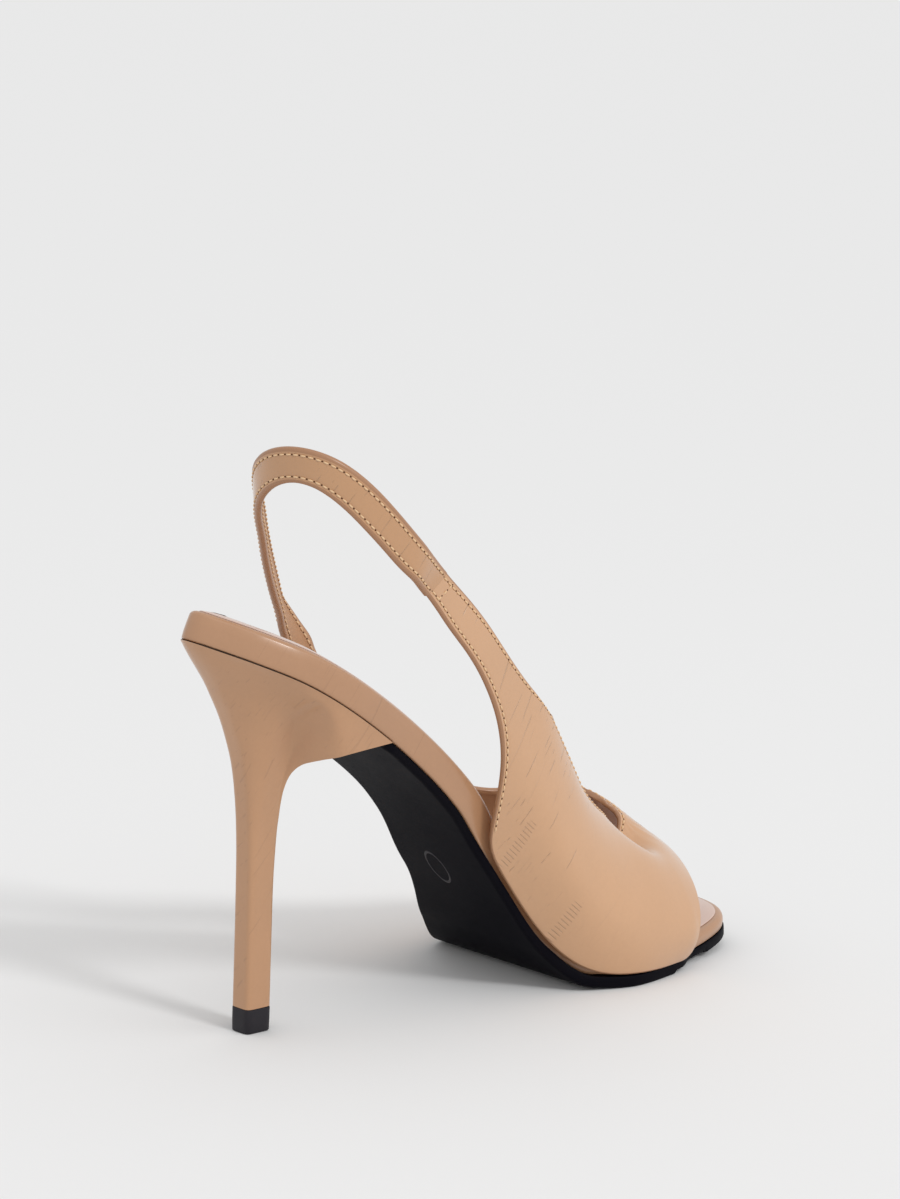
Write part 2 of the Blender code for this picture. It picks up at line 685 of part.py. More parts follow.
def main():
    """Clears the scene and builds the nodes in the order of assembly."""
    for old in list(bpy.data.objects):
        bpy.data.objects.remove(old)
    nodes = [
        build_outsole(),
        build_heel(),
        build_top_lift(),
        build_footbed(),
        build_insole(),
        build_upper(),
        build_sling(),
    ]
    centre(nodes)


main()
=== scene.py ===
"""Right-foot slingback sandal: its visible pieces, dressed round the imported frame.

Sizes are in millimetres until a mesh is made. The toe points to -Y, up is +Z and the inner
side of the foot is +X.
"""

import json
import logging
import math
from collections.abc import Callable, Sequence
from dataclasses import dataclass, field
from enum import Enum
from functools import cached_property

import bmesh
import bpy
import numpy as np
from mathutils import Matrix, Vector

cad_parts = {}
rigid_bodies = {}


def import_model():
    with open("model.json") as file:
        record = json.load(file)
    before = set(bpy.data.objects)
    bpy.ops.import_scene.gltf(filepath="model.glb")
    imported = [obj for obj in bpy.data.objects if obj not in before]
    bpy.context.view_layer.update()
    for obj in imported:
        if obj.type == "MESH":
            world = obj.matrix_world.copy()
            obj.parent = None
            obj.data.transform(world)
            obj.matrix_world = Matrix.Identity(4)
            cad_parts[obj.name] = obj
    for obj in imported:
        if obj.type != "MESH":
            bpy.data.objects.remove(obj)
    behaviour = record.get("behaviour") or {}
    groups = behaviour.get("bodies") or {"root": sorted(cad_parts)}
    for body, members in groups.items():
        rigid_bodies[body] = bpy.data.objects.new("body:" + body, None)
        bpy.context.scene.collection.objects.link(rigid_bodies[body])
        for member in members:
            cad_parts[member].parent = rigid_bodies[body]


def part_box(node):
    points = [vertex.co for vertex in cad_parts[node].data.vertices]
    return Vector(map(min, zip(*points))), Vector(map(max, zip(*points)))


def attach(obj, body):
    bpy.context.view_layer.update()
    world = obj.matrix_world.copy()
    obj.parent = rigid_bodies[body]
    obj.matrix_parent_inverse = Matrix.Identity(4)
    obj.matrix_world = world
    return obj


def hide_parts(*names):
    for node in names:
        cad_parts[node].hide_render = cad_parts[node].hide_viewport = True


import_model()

LOG = logging.getLogger("sandal")
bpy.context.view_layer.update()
TINY = 1e-12
MM = 1000

# Millimetres in a centimetre of the texture's leather, and how near two corners are welded, in metres
TEXTURE_STEP = 10
WELD = 1e-7

# Reach of a stitch channel in millimetres, and how far the throat's foot bows, as a share of LENGTH
GROOVE_REACH = 0.5
THROAT_ROUND = 0.012

Array = np.ndarray
Curve = Callable[[Array], Array]
Rows = Sequence[Sequence[float]]
Socket = bpy.types.NodeSocket
Tree = bpy.types.NodeTree
Material = bpy.types.Material
Looks = dict["Look", Material]

# Sole: run is a share of LENGTH, outer and inner are half widths as shares of BALL_WIDTH,
# rise is the height of the joint line as a share of HEEL_RISE and board is a share of BOARD
SOLE = (
    # run, outer, inner, rise, board
    (0.000, 0.000, 0.000, 1.000, 1.00),
    (0.020, 0.112, 0.088, 0.984, 1.00),
    (0.060, 0.232, 0.188, 0.952, 1.00),
    (0.120, 0.328, 0.278, 0.900, 1.00),
    (0.200, 0.366, 0.322, 0.812, 1.00),
    (0.300, 0.352, 0.282, 0.686, 1.00),
    (0.400, 0.345, 0.200, 0.527, 1.00),
    (0.500, 0.294, 0.215, 0.305, 0.98),
    (0.580, 0.316, 0.337, 0.128, 0.90),
    (0.650, 0.412, 0.450, 0.038, 0.74),
    (0.720, 0.468, 0.512, 0.031, 0.60),
    (0.800, 0.438, 0.500, 0.031, 0.52),
    (0.880, 0.385, 0.430, 0.040, 0.48),
    (0.950, 0.315, 0.305, 0.053, 0.46),
    (0.985, 0.215, 0.195, 0.060, 0.46),
    (1.000, 0.000, 0.000, 0.063, 0.46),
)

# Last above the joint line: run is a share of LENGTH, top is the ridge height and
# belly_out, belly_in are the fullest half widths as shares of BALL_WIDTH,
# ridge is where the ridge lies across, and round is the exponent of the section
LAST = (
    # run, top, belly_out, belly_in, ridge, round
    (0.300, 1.620, 0.440, 0.440, 0.00, 2.3),
    (0.410, 1.640, 0.440, 0.430, 0.00, 2.3),
    (0.513, 1.600, 0.445, 0.430, 0.00, 2.3),
    (0.590, 1.200, 0.460, 0.450, 0.01, 2.3),
    (0.638, 0.960, 0.480, 0.480, 0.02, 2.3),
    (0.675, 0.820, 0.500, 0.510, 0.03, 2.2),
    (0.718, 0.720, 0.508, 0.530, 0.03, 2.1),
    (0.755, 0.692, 0.508, 0.535, 0.03, 2.0),
    (0.810, 0.606, 0.500, 0.530, 0.03, 1.9),
    (0.867, 0.450, 0.480, 0.510, 0.03, 1.9),
    (0.910, 0.346, 0.440, 0.480, 0.03, 1.9),
    (0.960, 0.285, 0.370, 0.420, 0.03, 1.9),
)

# Upper from the sling seam to the bottom of the throat, one row for each cross line.
# run is a share of LENGTH and turn goes from 1 at the joint line to 0 on the ridge
OUTER_SIDE = (
    # throat_run, throat_turn, edge_run, edge_turn
    (0.331, 0.702, 0.298, 0.762),
    (0.372, 0.699, 0.322, 0.782),
    (0.411, 0.700, 0.345, 0.792),
    (0.440, 0.699, 0.370, 0.797),
    (0.467, 0.693, 0.394, 0.806),
    (0.495, 0.682, 0.412, 0.818),
    (0.521, 0.663, 0.427, 0.833),
    (0.545, 0.627, 0.438, 0.855),
    (0.570, 0.575, 0.446, 0.887),
    (0.596, 0.520, 0.450, 0.929),
    (0.618, 0.472, 0.453, 0.968),
    (0.639, 0.428, 0.460, 1.000),
    (0.661, 0.390, 0.505, 1.000),
    (0.695, 0.340, 0.555, 1.000),
    (0.726, 0.281, 0.610, 1.000),
    (0.758, 0.220, 0.665, 1.000),
    (0.784, 0.180, 0.722, 1.000),
    (0.799, 0.156, 0.778, 1.000),
)

INNER_SIDE = (
    # throat_run, throat_turn, edge_run, edge_turn
    (0.384, 0.869, 0.344, 0.935),
    (0.409, 0.879, 0.365, 0.949),
    (0.440, 0.871, 0.392, 0.951),
    (0.482, 0.848, 0.428, 0.945),
    (0.524, 0.806, 0.468, 0.935),
    (0.560, 0.747, 0.499, 0.937),
    (0.596, 0.667, 0.506, 0.964),
    (0.631, 0.580, 0.508, 1.000),
    (0.662, 0.496, 0.545, 1.000),
    (0.692, 0.425, 0.590, 1.000),
    (0.722, 0.340, 0.635, 1.000),
    (0.750, 0.250, 0.680, 1.000),
    (0.776, 0.150, 0.725, 1.000),
    (0.795, 0.050, 0.772, 1.000),
    (0.803, -0.050, 0.815, 1.000),
)

# Toe opening, from the outer side over the top to the inner side.
# run is a share of LENGTH, turn goes from -1 at the outer joint line to 1 at the inner one
TOE_OPENING = (
    # run, turn
    (0.829, -1.00),
    (0.834, -0.88),
    (0.846, -0.72),
    (0.856, -0.55),
    (0.868, -0.35),
    (0.886, -0.12),
    (0.899, 0.12),
    (0.897, 0.38),
    (0.880, 0.62),
    (0.862, 0.83),
    (0.850, 1.00),
)

# Middle line of the sling strap between its seams: run, rise as above, side is a share of BALL_WIDTH
# with the inner side positive, lean is the outward tilt of its top edge in degrees
SLING = (
    # run, side, rise, lean
    (0.276, -0.443, 1.165, 4.0),
    (0.220, -0.429, 1.264, 4.0),
    (0.168, -0.371, 1.363, 4.0),
    (0.137, -0.300, 1.408, 5.0),
    (0.121, -0.221, 1.418, 6.0),
    (0.114, -0.129, 1.404, 7.0),
    (0.122, -0.029, 1.362, 6.0),
    (0.146, 0.057, 1.300, 6.0),
    (0.176, 0.129, 1.238, 7.0),
    (0.211, 0.214, 1.160, 8.0),
    (0.247, 0.293, 1.082, 10.0),
    (0.283, 0.364, 1.003, 14.0),
    (0.311, 0.414, 0.941, 18.0),
    (0.334, 0.424, 0.885, 18.0),
)

# Heel: height is a share of the way from the lift to the seat. back, front and wing say how
# far the section has flared from the stem to the seat there: backwards, forwards and, at
# the wings, sideways
HEEL = (
    # height, back, front, wing
    (0.000, 0.000, 0.000, 0.000),
    (0.200, 0.000, 0.000, 0.000),
    (0.400, 0.008, 0.000, 0.000),
    (0.500, 0.030, 0.000, 0.008),
    (0.580, 0.070, 0.004, 0.020),
    (0.660, 0.140, 0.010, 0.035),
    (0.730, 0.250, 0.020, 0.060),
    (0.790, 0.370, 0.020, 0.100),
    (0.840, 0.500, 0.032, 0.150),
    (0.880, 0.610, 0.050, 0.220),
    (0.920, 0.745, 0.090, 0.370),
    (0.950, 0.850, 0.160, 0.640),
    (0.975, 0.930, 0.300, 0.900),
    (1.000, 1.000, 1.000, 1.000),
)

# Tread pads: a row for each end of the two pads, as shares of LENGTH
TREAD_PADS = (
    # start, end
    (0.575, 0.800),
    (0.900, 0.968),
)

# Share of the footbed's side that the upper wraps: run is a share of LENGTH
WRAP = (
    # run, wrap
    (0.000, 0.0),
    (0.427, 0.0),
    (0.494, 1.0),
    (0.814, 1.0),
    (0.855, 0.0),
    (1.000, 0.0),
)

# Edges in section, each as rows of inset and height in millimetres: the footbed's foot over
# the joint line, the insole over the footbed, the outsole's foot over its underside and the
# outsole's rim over the joint line
BED_FOOT = ((3.0, 0.0), (0.7, 0.0), (0.25, 0.12), (0.05, 0.4), (-0.02, 1.0))
SOCK_EDGE = ((0.1, 0.0), (0.0, 0.1), (0.05, 0.25), (0.3, 0.36))
SOCK_EDGE += ((1.0, 0.5), (2.2, 0.75), (4.0, 1.1), (6.5, 1.3))
SOLE_FOOT = ((1.4, 0.0), (0.7, 0.1), (0.25, 0.4), (0.05, 0.8))
SOLE_RIM = ((0.0, -1.2), (0.0, -0.5), (0.15, -0.2), (0.5, -0.12))

# Stitch: place as a share of its length, and thickness there as a share of the thread's
STITCH = ((-0.5, 0.15), (-0.42, 0.6), (-0.2, 0.95), (0.0, 1.0), (0.2, 0.95), (0.42, 0.6), (0.5, 0.15))

# Ring in the arch: offset from its radius as a share of the line, and depth in millimetres
RING = ((-1.0, 0.0), (-0.4, 0.08), (0.4, 0.08), (1.0, 0.0))

# Combs of short marks on the outer wing: middle and half length in metres
COMBS = (
    # y, z, length
    (0.0010, 0.0461, 0.0078),
    (-0.0164, 0.0215, 0.0072),
)
# From and to which share of the heel's height, and in how many rows
HEEL_STEPS = ((0, 0.6, 14), (0.6, 0.9, 20), (0.9, 1, 22))

# Lights for the gloss: name, place in metres, size in metres and power in watts
PANELS = (
    ("top panel", (-0.25, 0.15, 0.9), 0.5, 0.35),
    ("side panel", (-0.7, -0.5, 0.6), 0.4, 0.25),
)

# Marks per metre, and the cosine and sine of the combs' tilt
COMB_PITCH = 700.0
COMB_TILT = (0.95, 0.31)

# Bounds of the combs' and creases' soft edges: shares of a mark, and metres off a comb and to the side
MARK_EDGE = (0.0, 0.22)
COMB_EDGE = (0.0018, 0.0012)
WING_EDGE = (-0.012, -0.018)
CREASE_EDGE = (0.0, 0.14)
CREASE_SPOTS = (0.42, 0.58)

# Crease layers: turn in degrees, creases per metre, noise scale that breaks them,
# scale of the patches that hold them, and the noise above which a crease shows
CREASES = (
    # turn, pitch, broken, patch, share
    (-36.87, 520, (420, 420, 13), 26, 0.585),
    (-33.0, 330, (300, 300, 9), 20, 0.60),
    (-42.0, 480, (380, 380, 14), 34, 0.62),
)
# Where the creases set in along the shoe, y in metres
CREASE_START = (-0.040, -0.012)


class Edge(Enum):
    """The two long edges of a leather piece."""

    THROAT = 0
    REAR = 1


class Face(Enum):
    """The surfaces of a leather shell, in the order of its material slots."""

    OUTSIDE = 0
    LINING = 1
    RIM = 2


def curve(xs: Array, ys: Array) -> Curve:
    """Makes a smooth curve through the rows that never overshoots them.

    Args:
        xs: rising positions.
        ys: the value at each of them.

    Returns:
        A function from positions to values, held level past both ends.
    """
    steps = np.diff(xs)
    slopes = np.diff(ys) / steps
    tangents = np.zeros(len(xs))
    tangents[0] = slopes[0]
    tangents[-1] = slopes[-1]
    for i in range(1, len(xs) - 1):
        if slopes[i - 1] * slopes[i] > 0:
            before = 2 * steps[i] + steps[i - 1]
            after = steps[i] + 2 * steps[i - 1]
            tangents[i] = (before + after) / (before / slopes[i - 1] + after / slopes[i])

    def value(x: Array) -> Array:
        """Gives the curve's value at x."""
        x = np.clip(np.asarray(x, float), xs[0], xs[-1])
        i = np.clip(np.searchsorted(xs, x) - 1, 0, len(xs) - 2)
        t = (x - xs[i]) / steps[i]
        start = (1 + 2 * t) * (1 - t) ** 2 * ys[i]
        end = t * t * (3 - 2 * t) * ys[i + 1]
        bend = t * (1 - t) ** 2 * tangents[i] - t * t * (1 - t) * tangents[i + 1]
        return start + end + bend * steps[i]

    return value


def smooth(t: Array) -> Array:
    """Turns shares from 0 to 1 into a soft step."""
    return t * t * (3 - 2 * t)


def both_ends(count: int) -> Array:
    """Gives shares from 0 to 1 that stand closer together towards both ends."""
    return (1 - np.cos(np.linspace(0, 1, count) * math.pi)) / 2


def around(count: int) -> Array:
    """Gives angles spaced evenly round a circle."""
    return np.linspace(0, 2 * math.pi, count + 1)[:-1]


def spread(run: Array) -> Array:
    """Turns runs along the sole into an angle, so that its two ends come out round."""
    return np.arccos(1 - 2 * np.clip(run, 0, 1)) / math.pi


def eased(values: Array, passes: int) -> Array:
    """Smooths rows along the first axis in so many passes, and keeps both ends where they are."""
    values = np.array(values, float)
    for _ in range(passes):
        values[1:-1] = 0.5 * values[1:-1] + 0.25 * (values[:-2] + values[2:])
    return values


def unit(vectors: Array) -> Array:
    """Scales vectors to length one."""
    return vectors / (np.linalg.norm(vectors, axis=-1, keepdims=True) + TINY)


def normals_of(grid: Array) -> Array:
    """Gives the unit normals of a grid of points, on the side that looks outwards."""
    return unit(np.cross(np.gradient(grid, axis=1), np.gradient(grid, axis=0)))


def walk_of(points: Array) -> Array:
    """Gives the length walked along a line of points, or along each row of a grid."""
    steps = np.linalg.norm(np.diff(points, axis=-2), axis=-1)
    return np.concatenate([np.zeros((*steps.shape[:-1], 1)), np.cumsum(steps, axis=-1)], axis=-1)


def on_line(at: Array | float, walk: Array, line: Array) -> Array:
    """Gives the points of a line at lengths walked along it."""
    return np.stack([np.interp(at, walk, line[:, axis]) for axis in range(3)], axis=-1)


def looped(out: Array, back: Array) -> Array:
    """Joins two rows that share both ends into one closed loop."""
    return np.concatenate([out, back[-2:0:-1]])


def groove(away: Array, inset: float) -> Array:
    """Says how deep a stitch channel is at distances from an edge, from 0 to 1."""
    return np.exp(-(((away - inset) / GROOVE_REACH) ** 2))


def bands(rows: int, count: int, closed: bool = False) -> list[tuple[int, ...]]:
    """Gives the faces between rings of points.

    Args:
        rows: how many rings there are.
        count: how many points each ring has.
        closed: whether the last ring meets the first.

    Returns:
        The corners of each face, ring after ring.
    """
    faces = []
    turned = [*range(1, count), 0]
    for row in range(rows if closed else rows - 1):
        low, high = row * count, (row + 1) % rows * count
        faces += [(low + i, low + j, high + j, high + i) for i, j in zip(range(count), turned)]
    return faces


def rungs(count: int, steps: int, base: int = 0) -> list[tuple[int, ...]]:
    """Gives the faces that close a ring of points from its first point on.

    Args:
        count: how many points the ring has.
        steps: how many faces are laid across it.
        base: the ring's first point.

    Returns:
        The corners of each face.
    """
    faces = []
    for i in range(steps):
        corners = dict.fromkeys((i, i + 1, (count - i - 1) % count, (count - i) % count))
        faces.append(tuple(base + corner for corner in corners))
    return faces


@dataclass(frozen=True)
class Form:
    """The sandal's driving sizes, and the surfaces that its pieces are cut from."""

    length: float = 196.5
    ball_width: float = 70.0
    heel_rise: float = 110.5
    outsole: float = 2.6
    tread: float = 0.9
    joint: float = 0.3
    board: float = 8.2
    bed_inset: float = 0.6
    sock_inset: float = 2.6
    wall: float = 1.6
    strap_width: float = 9.4
    strap_thick: float = 2.0
    instep: float = 66.0
    belly: float = 0.32
    stem_length: float = 8.6
    stem_width: float = 7.0
    stem_run: float = 27.0
    lift: float = 6.8
    wing: float = 53.0
    breast: float = 33.0
    throat_dip: float = 13.0
    dip_reach: float = 9.0
    dip_run: float = 0.780
    dip_side: float = -11.5

    @cached_property
    def shift(self) -> tuple[float, float]:
        """How far the shoe's middle line and middle stand from the origin, read from the lift."""
        low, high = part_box("top_lift")
        middle_x = (low[0] + high[0]) * MM / 2
        middle_y = (low[1] + high[1]) * MM / 2
        return middle_x, middle_y - (self.length / 2 - self.stem_run)

    def world(self, points: Array) -> Array:
        """Turns run, side and rise in millimetres into the frame's metres."""
        across = points[..., 1] + self.shift[0]
        along = self.length / 2 - points[..., 0] + self.shift[1]
        return np.stack([across, along, points[..., 2]], axis=-1) / MM

    def _along(self, table: Rows, column: int, scale: float = 1.0) -> Curve:
        """Makes a curve along the shoe from one column of a table."""
        rows = np.array(table)
        return curve(rows[:, 0] * self.length, rows[:, column] * scale)

    @cached_property
    def rise(self) -> Curve:
        """Height of the joint line at s."""
        return self._along(SOLE, 3, self.heel_rise)

    @cached_property
    def thick(self) -> Curve:
        """Thickness of the footbed at s."""
        return self._along(SOLE, 4, self.board)

    @cached_property
    def wrap(self) -> Curve:
        """Where the upper wraps the footbed, from 0 to 1."""
        return self._along(WRAP, 1)

    @cached_property
    def widths(self) -> list[Curve]:
        """Half widths of the sole on the outer and the inner side, against the angle of spread."""
        rows = np.array(SOLE)
        return [curve(spread(rows[:, 0]), rows[:, column] * self.ball_width) for column in (1, 2)]

    def half(self, s: Array, outer: bool) -> Array:
        """Half width of the sole at s, on the outer or the inner side."""
        return self.widths[0 if outer else 1](spread(s / self.length))

    def on_bed(self, s: Array, side: Array, height: Array | float) -> Array:
        """Gives points along and across the sole, at a height square to the joint line."""
        slope = self.rise(s + 0.5) - self.rise(s - 0.5)
        size = np.sqrt(1 + slope**2)
        return np.stack([s - height * slope / size, side, self.rise(s) + height / size], axis=-1)

    def outline(self, stations: Array, inset: Array | float) -> Array:
        """Gives the sole's edge in plan, round both sides, moved inwards by inset."""
        outer = np.stack([stations, -self.half(stations, True)], axis=1)
        inner = np.stack([stations, self.half(stations, False)], axis=1)
        loop = looped(outer, inner)
        ahead = unit(np.roll(loop, -1, axis=0) - loop)
        along = unit(ahead + np.roll(ahead, 1, axis=0))
        inwards = np.stack([-along[:, 1], along[:, 0]], axis=1)
        inset = np.broadcast_to(inset, (len(stations),))
        return loop + inwards * looped(inset, inset)[:, None]

    def stations(self, count: int) -> Array:
        """Gives runs along the sole that stand closer together towards both ends."""
        return self.length * both_ends(count)

    def wing_opening(self, s: Array) -> Array:
        """Gives the share of the sole's half width that the heel's breast leaves open at s."""
        share = np.clip((s - self.breast) / (self.wing - self.breast), 0, 1)
        return np.sqrt(1 - (1 - share) ** 2)

    @cached_property
    def last_curves(self) -> list[Curve]:
        """Ridge height, both bellies, ridge place and section exponent of the last."""
        scales = (self.instep, self.ball_width, self.ball_width, self.ball_width, 1.0)
        return [self._along(LAST, i + 1, scale) for i, scale in enumerate(scales)]

    def on_last(self, s: Array, turn: Array) -> Array:
        """Gives points on the last's skin.

        Args:
            s: runs along the shoe.
            turn: -1 at the outer joint line, 0 on the ridge and 1 at the inner joint line.

        Returns:
            Run, side and rise of each point.
        """
        top, belly_out, belly_in, ridge, section = (part(s) for part in self.last_curves)
        climb = (1 - np.clip(np.abs(turn), 0, 1)) * math.pi / 2
        power = 2 / section
        up = np.sin(climb) ** power
        across = np.clip(np.cos(climb), 0, 1) ** power
        outer = turn < 0
        base = np.where(outer, self.half(s, True), self.half(s, False))
        belly = np.where(outer, belly_out, belly_in)
        swell = np.sin(np.clip(up / self.belly, 0, 1) * math.pi / 2)
        half = base + np.maximum(belly - base, 0) * swell
        side = np.where(outer, -half, half) * across + ridge * (1 - across)
        near_run = (s - self.dip_run * self.length) / self.dip_reach
        near_side = (side - self.dip_side) / self.dip_reach
        dip = self.throat_dip * np.exp(-(near_run**2) - near_side**2)
        return np.stack([s, side, self.rise(s) + top * up - dip], axis=-1)


@dataclass
class Piece:
    """A mesh under construction: points in millimetres, faces, texture places and slots."""

    form: Form
    points: list[Array] = field(default_factory=list)
    places: list[Array] = field(default_factory=list)
    faces: list[tuple[int, ...]] = field(default_factory=list)
    slots: list[int] = field(default_factory=list)
    count: int = 0

    def add(
        self,
        points: Array,
        faces: Sequence[tuple[int, ...]],
        slots: Sequence[int] | None = None,
        places: Array | None = None,
    ) -> "Piece":
        """Adds points and the faces between them.

        Args:
            points: run, side and rise of each point.
            faces: indices into these points.
            slots: the material slot of each face, if there is more than one.
            places: texture coordinates of the points, in centimetres of leather.

        Returns:
            The piece.
        """
        points = points.reshape(-1, 3)
        if places is None:
            places = points[:, [0, 2]] / TEXTURE_STEP
        self.points.append(points)
        self.places.append(places.reshape(-1, 2))
        self.faces += [tuple(self.count + corner for corner in face) for face in faces]
        self.slots += slots or [0] * len(faces)
        self.count += len(points)
        return self

    def rings(
        self, rings: Array, slots: Sequence[int] | None = None, places: Array | None = None
    ) -> "Piece":
        """Adds closed rings of points, joins them and closes both ends.

        Args:
            rings: an array of rings, each a closed loop of points.
            slots: the material slot after each point of a ring, if there is more than one.
            places: texture coordinates of the points.

        Returns:
            The piece.
        """
        rows, count = rings.shape[:2]
        first = [face[::-1] for face in rungs(count, count // 2)]
        last = rungs(count, count // 2, (rows - 1) * count)
        slots = list(slots or [0] * count)
        chosen = slots * (rows - 1) + slots[:1] * (len(first) + len(last))
        return self.add(rings, bands(rows, count) + first + last, chosen, places)

    def finish(
        self,
        name: str,
        materials: Sequence[Material],
        slot: str,
        replaced: Sequence[str] = (),
        sharp: float = 40.0,
    ) -> bpy.types.Object:
        """Makes the object, dresses it and lets it ride on the frame.

        Args:
            name: the object's name.
            materials: its materials, in the order of the slots.
            slot: the record's material slot; not used.
            replaced: the CAD nodes that it stands for.
            sharp: the angle in degrees above which an edge stays crisp.

        Returns:
            The finished object.
        """
        mesh = bpy.data.meshes.new(name)
        points = self.form.world(np.concatenate(self.points))
        mesh.from_pydata(points.tolist(), [], self.faces)
        mesh.polygons.foreach_set("material_index", self.slots)
        mesh.polygons.foreach_set("use_smooth", [True] * len(self.faces))
        layer = mesh.uv_layers.new(name="leather")
        corners = np.empty(len(mesh.loops), np.int32)
        mesh.loops.foreach_get("vertex_index", corners)
        layer.data.foreach_set("uv", np.concatenate(self.places)[corners].reshape(-1))
        shape = bmesh.new()
        shape.from_mesh(mesh)
        bmesh.ops.remove_doubles(shape, verts=shape.verts, dist=WELD)
        bmesh.ops.recalc_face_normals(shape, faces=shape.faces)
        shape.to_mesh(mesh)
        shape.free()
        mesh.set_sharp_from_angle(angle=math.radians(sharp))
        for material in materials:
            mesh.materials.append(material)
        obj = placed(name, mesh)
        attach(obj, "root")
        if replaced:
            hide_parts(*replaced)
        LOG.info("%s: %d faces", name, len(mesh.polygons))
        return obj


def placed(name: str, data: bpy.types.ID) -> bpy.types.Object:
    """Makes an object of a mesh, lamp or camera and puts it into the scene."""
    obj = bpy.data.objects.new(name, data)
    bpy.context.scene.collection.objects.link(obj)
    return obj


@dataclass(frozen=True)
class Leather:
    """A leather shell cut from a grid of points on its outer skin."""

    grid: Array
    wall: float
    rim_steps: int = 6

    @cached_property
    def normals(self) -> Array:
        """Outward unit normals of the grid."""
        return normals_of(self.grid)

    @cached_property
    def rings(self) -> Array:
        """The closed cross sections: outside, rear rim, lining and throat rim."""
        inner = self.grid - self.normals * self.wall
        turns = np.linspace(0, math.pi, self.rim_steps + 2)[1:-1]
        rims = []
        for end, before, angles in ((-1, -2, turns), (0, 1, turns[::-1])):
            out = unit(self.grid[:, end] - self.grid[:, before])
            middle = (self.grid[:, end] + inner[:, end]) / 2
            up = self.normals[:, end][:, None] * np.cos(angles)[None, :, None]
            beyond = out[:, None] * np.sin(angles)[None, :, None]
            rims.append(middle[:, None] + (up + beyond) * self.wall / 2)
        return np.concatenate([self.grid, rims[0], inner[:, ::-1], rims[1]], axis=1)

    def slots(self) -> list[int]:
        """Gives the material slot after each point of a cross section."""
        columns = self.grid.shape[1]
        rim = [Face.RIM.value] * (self.rim_steps + 1)
        outside = [Face.OUTSIDE.value] * (columns - 1)
        return outside + rim + [Face.LINING.value] * (columns - 1) + rim

    def places(self) -> Array:
        """Gives texture coordinates for the cross sections, in centimetres of leather."""
        across = walk_of(self.rings)
        along = walk_of(self.grid[:, self.grid.shape[1] // 2])
        return np.stack([np.broadcast_to(along[:, None], across.shape), across], axis=2) / TEXTURE_STEP

    def beside(self, edge: Edge, inset: float, lifted: float, rows: slice) -> tuple[Array, Array]:
        """Follows one long edge of the shell, inset from it along the skin.

        Args:
            edge: the edge that is followed.
            inset: the distance from the edge, rim included.
            lifted: how far the line stands over the skin, below zero for the lining's side.
            rows: the rows that it passes.

        Returns:
            The points of the line and the outward normals there.
        """
        grid, normals = self.grid[rows], self.normals[rows]
        if edge is Edge.REAR:
            grid, normals = grid[:, ::-1], normals[:, ::-1]
        walks = walk_of(grid) + self.wall / 2
        points = np.array([on_line(inset, walk, row) for walk, row in zip(walks, grid)])
        out = unit(np.array([on_line(inset, walk, row) for walk, row in zip(walks, normals)]))
        if lifted < 0:
            return points + out * (lifted - self.wall), -out
        return points + out * lifted, out


@dataclass(frozen=True)
class Stitching:
    """Rows of lockstitch, with a dark patch at the needle hole between one stitch and the next, which
    paints the shade inside the hole.

    thread and hole are half widths, sink is how far the row stands over the skin, and flat,
    bow, thinnest, hole_length and hole_taper are shares of a width.
    """

    pitch: float = 2.1
    stitch: float = 1.5
    thread: float = 0.27
    flat: float = 0.8
    bow: float = 0.6
    thinnest: float = 0.3
    sink: float = 0.08
    hole: float = 0.24
    hole_length: float = 1.2
    hole_taper: float = 0.7
    hole_rise: tuple[float, float] = (0.02, 0.035)
    sides: int = 6

    def sew(self, thread: Piece, holes: Piece, line: Array, out: Array) -> None:
        """Sews along a line.

        Args:
            thread: the piece that takes the stitches.
            holes: the piece that takes the needle holes.
            line: points on the skin.
            out: the outward normals there.
        """
        walk = walk_of(line)
        count = int(walk[-1] // self.pitch)
        turns = around(self.sides)[:, None]
        offsets, sizes = np.array(STITCH).T
        for middle in (np.arange(count) + 0.5) * walk[-1] / max(count, 1):
            spots = on_line(middle + offsets * self.stitch, walk, line)
            up = on_line(middle, walk, out)
            ahead = unit(spots[-1] - spots[0])
            beside = np.cross(up, ahead)
            section = up * np.cos(turns) * self.flat + beside * np.sin(turns)
            rings = []
            for spot, size in zip(spots, sizes):
                centre = spot + up * (size - self.bow) * self.thread
                rings.append(centre + section * self.thread * max(size, self.thinnest))
            thread.rings(np.array(rings))
            # A dark patch at each needle hole paints the shade inside it.
            spot = on_line(middle - self.pitch / 2, walk, line)
            flat = (ahead * np.cos(turns) * self.hole_length + beside * np.sin(turns)) * self.hole
            low, high = self.hole_rise
            holes.rings(np.array([spot + flat + up * low, spot + flat * self.hole_taper + up * high]))


def hands(rows: int) -> tuple[Array, ...]:
    """Gives both ends of every cross line of the upper, from the outer seam to the inner one."""
    outer = np.array(OUTER_SIDE)
    inner = np.array(INNER_SIDE)[::-1]
    toe = np.array(TOE_OPENING)
    fill = np.linspace(0, 1, len(toe) + 2)[1:-1]
    runs = outer[-1, 0] + (inner[0, 0] - outer[-1, 0]) * fill + THROAT_ROUND * np.sin(fill * math.pi)
    turns = -outer[-1, 1] + (inner[0, 1] + outer[-1, 1]) * fill
    throat = np.concatenate([outer[:, :2] * (1, -1), np.stack([runs, turns], axis=1), inner[:, :2]])
    edge = np.concatenate([outer[:, 2:] * (1, -1), toe, inner[:, 2:]])
    known = np.arange(len(throat), dtype=float)
    fine = np.linspace(0, len(throat) - 1, rows)
    return tuple(curve(known, column)(fine) for column in (*throat.T, *edge.T))


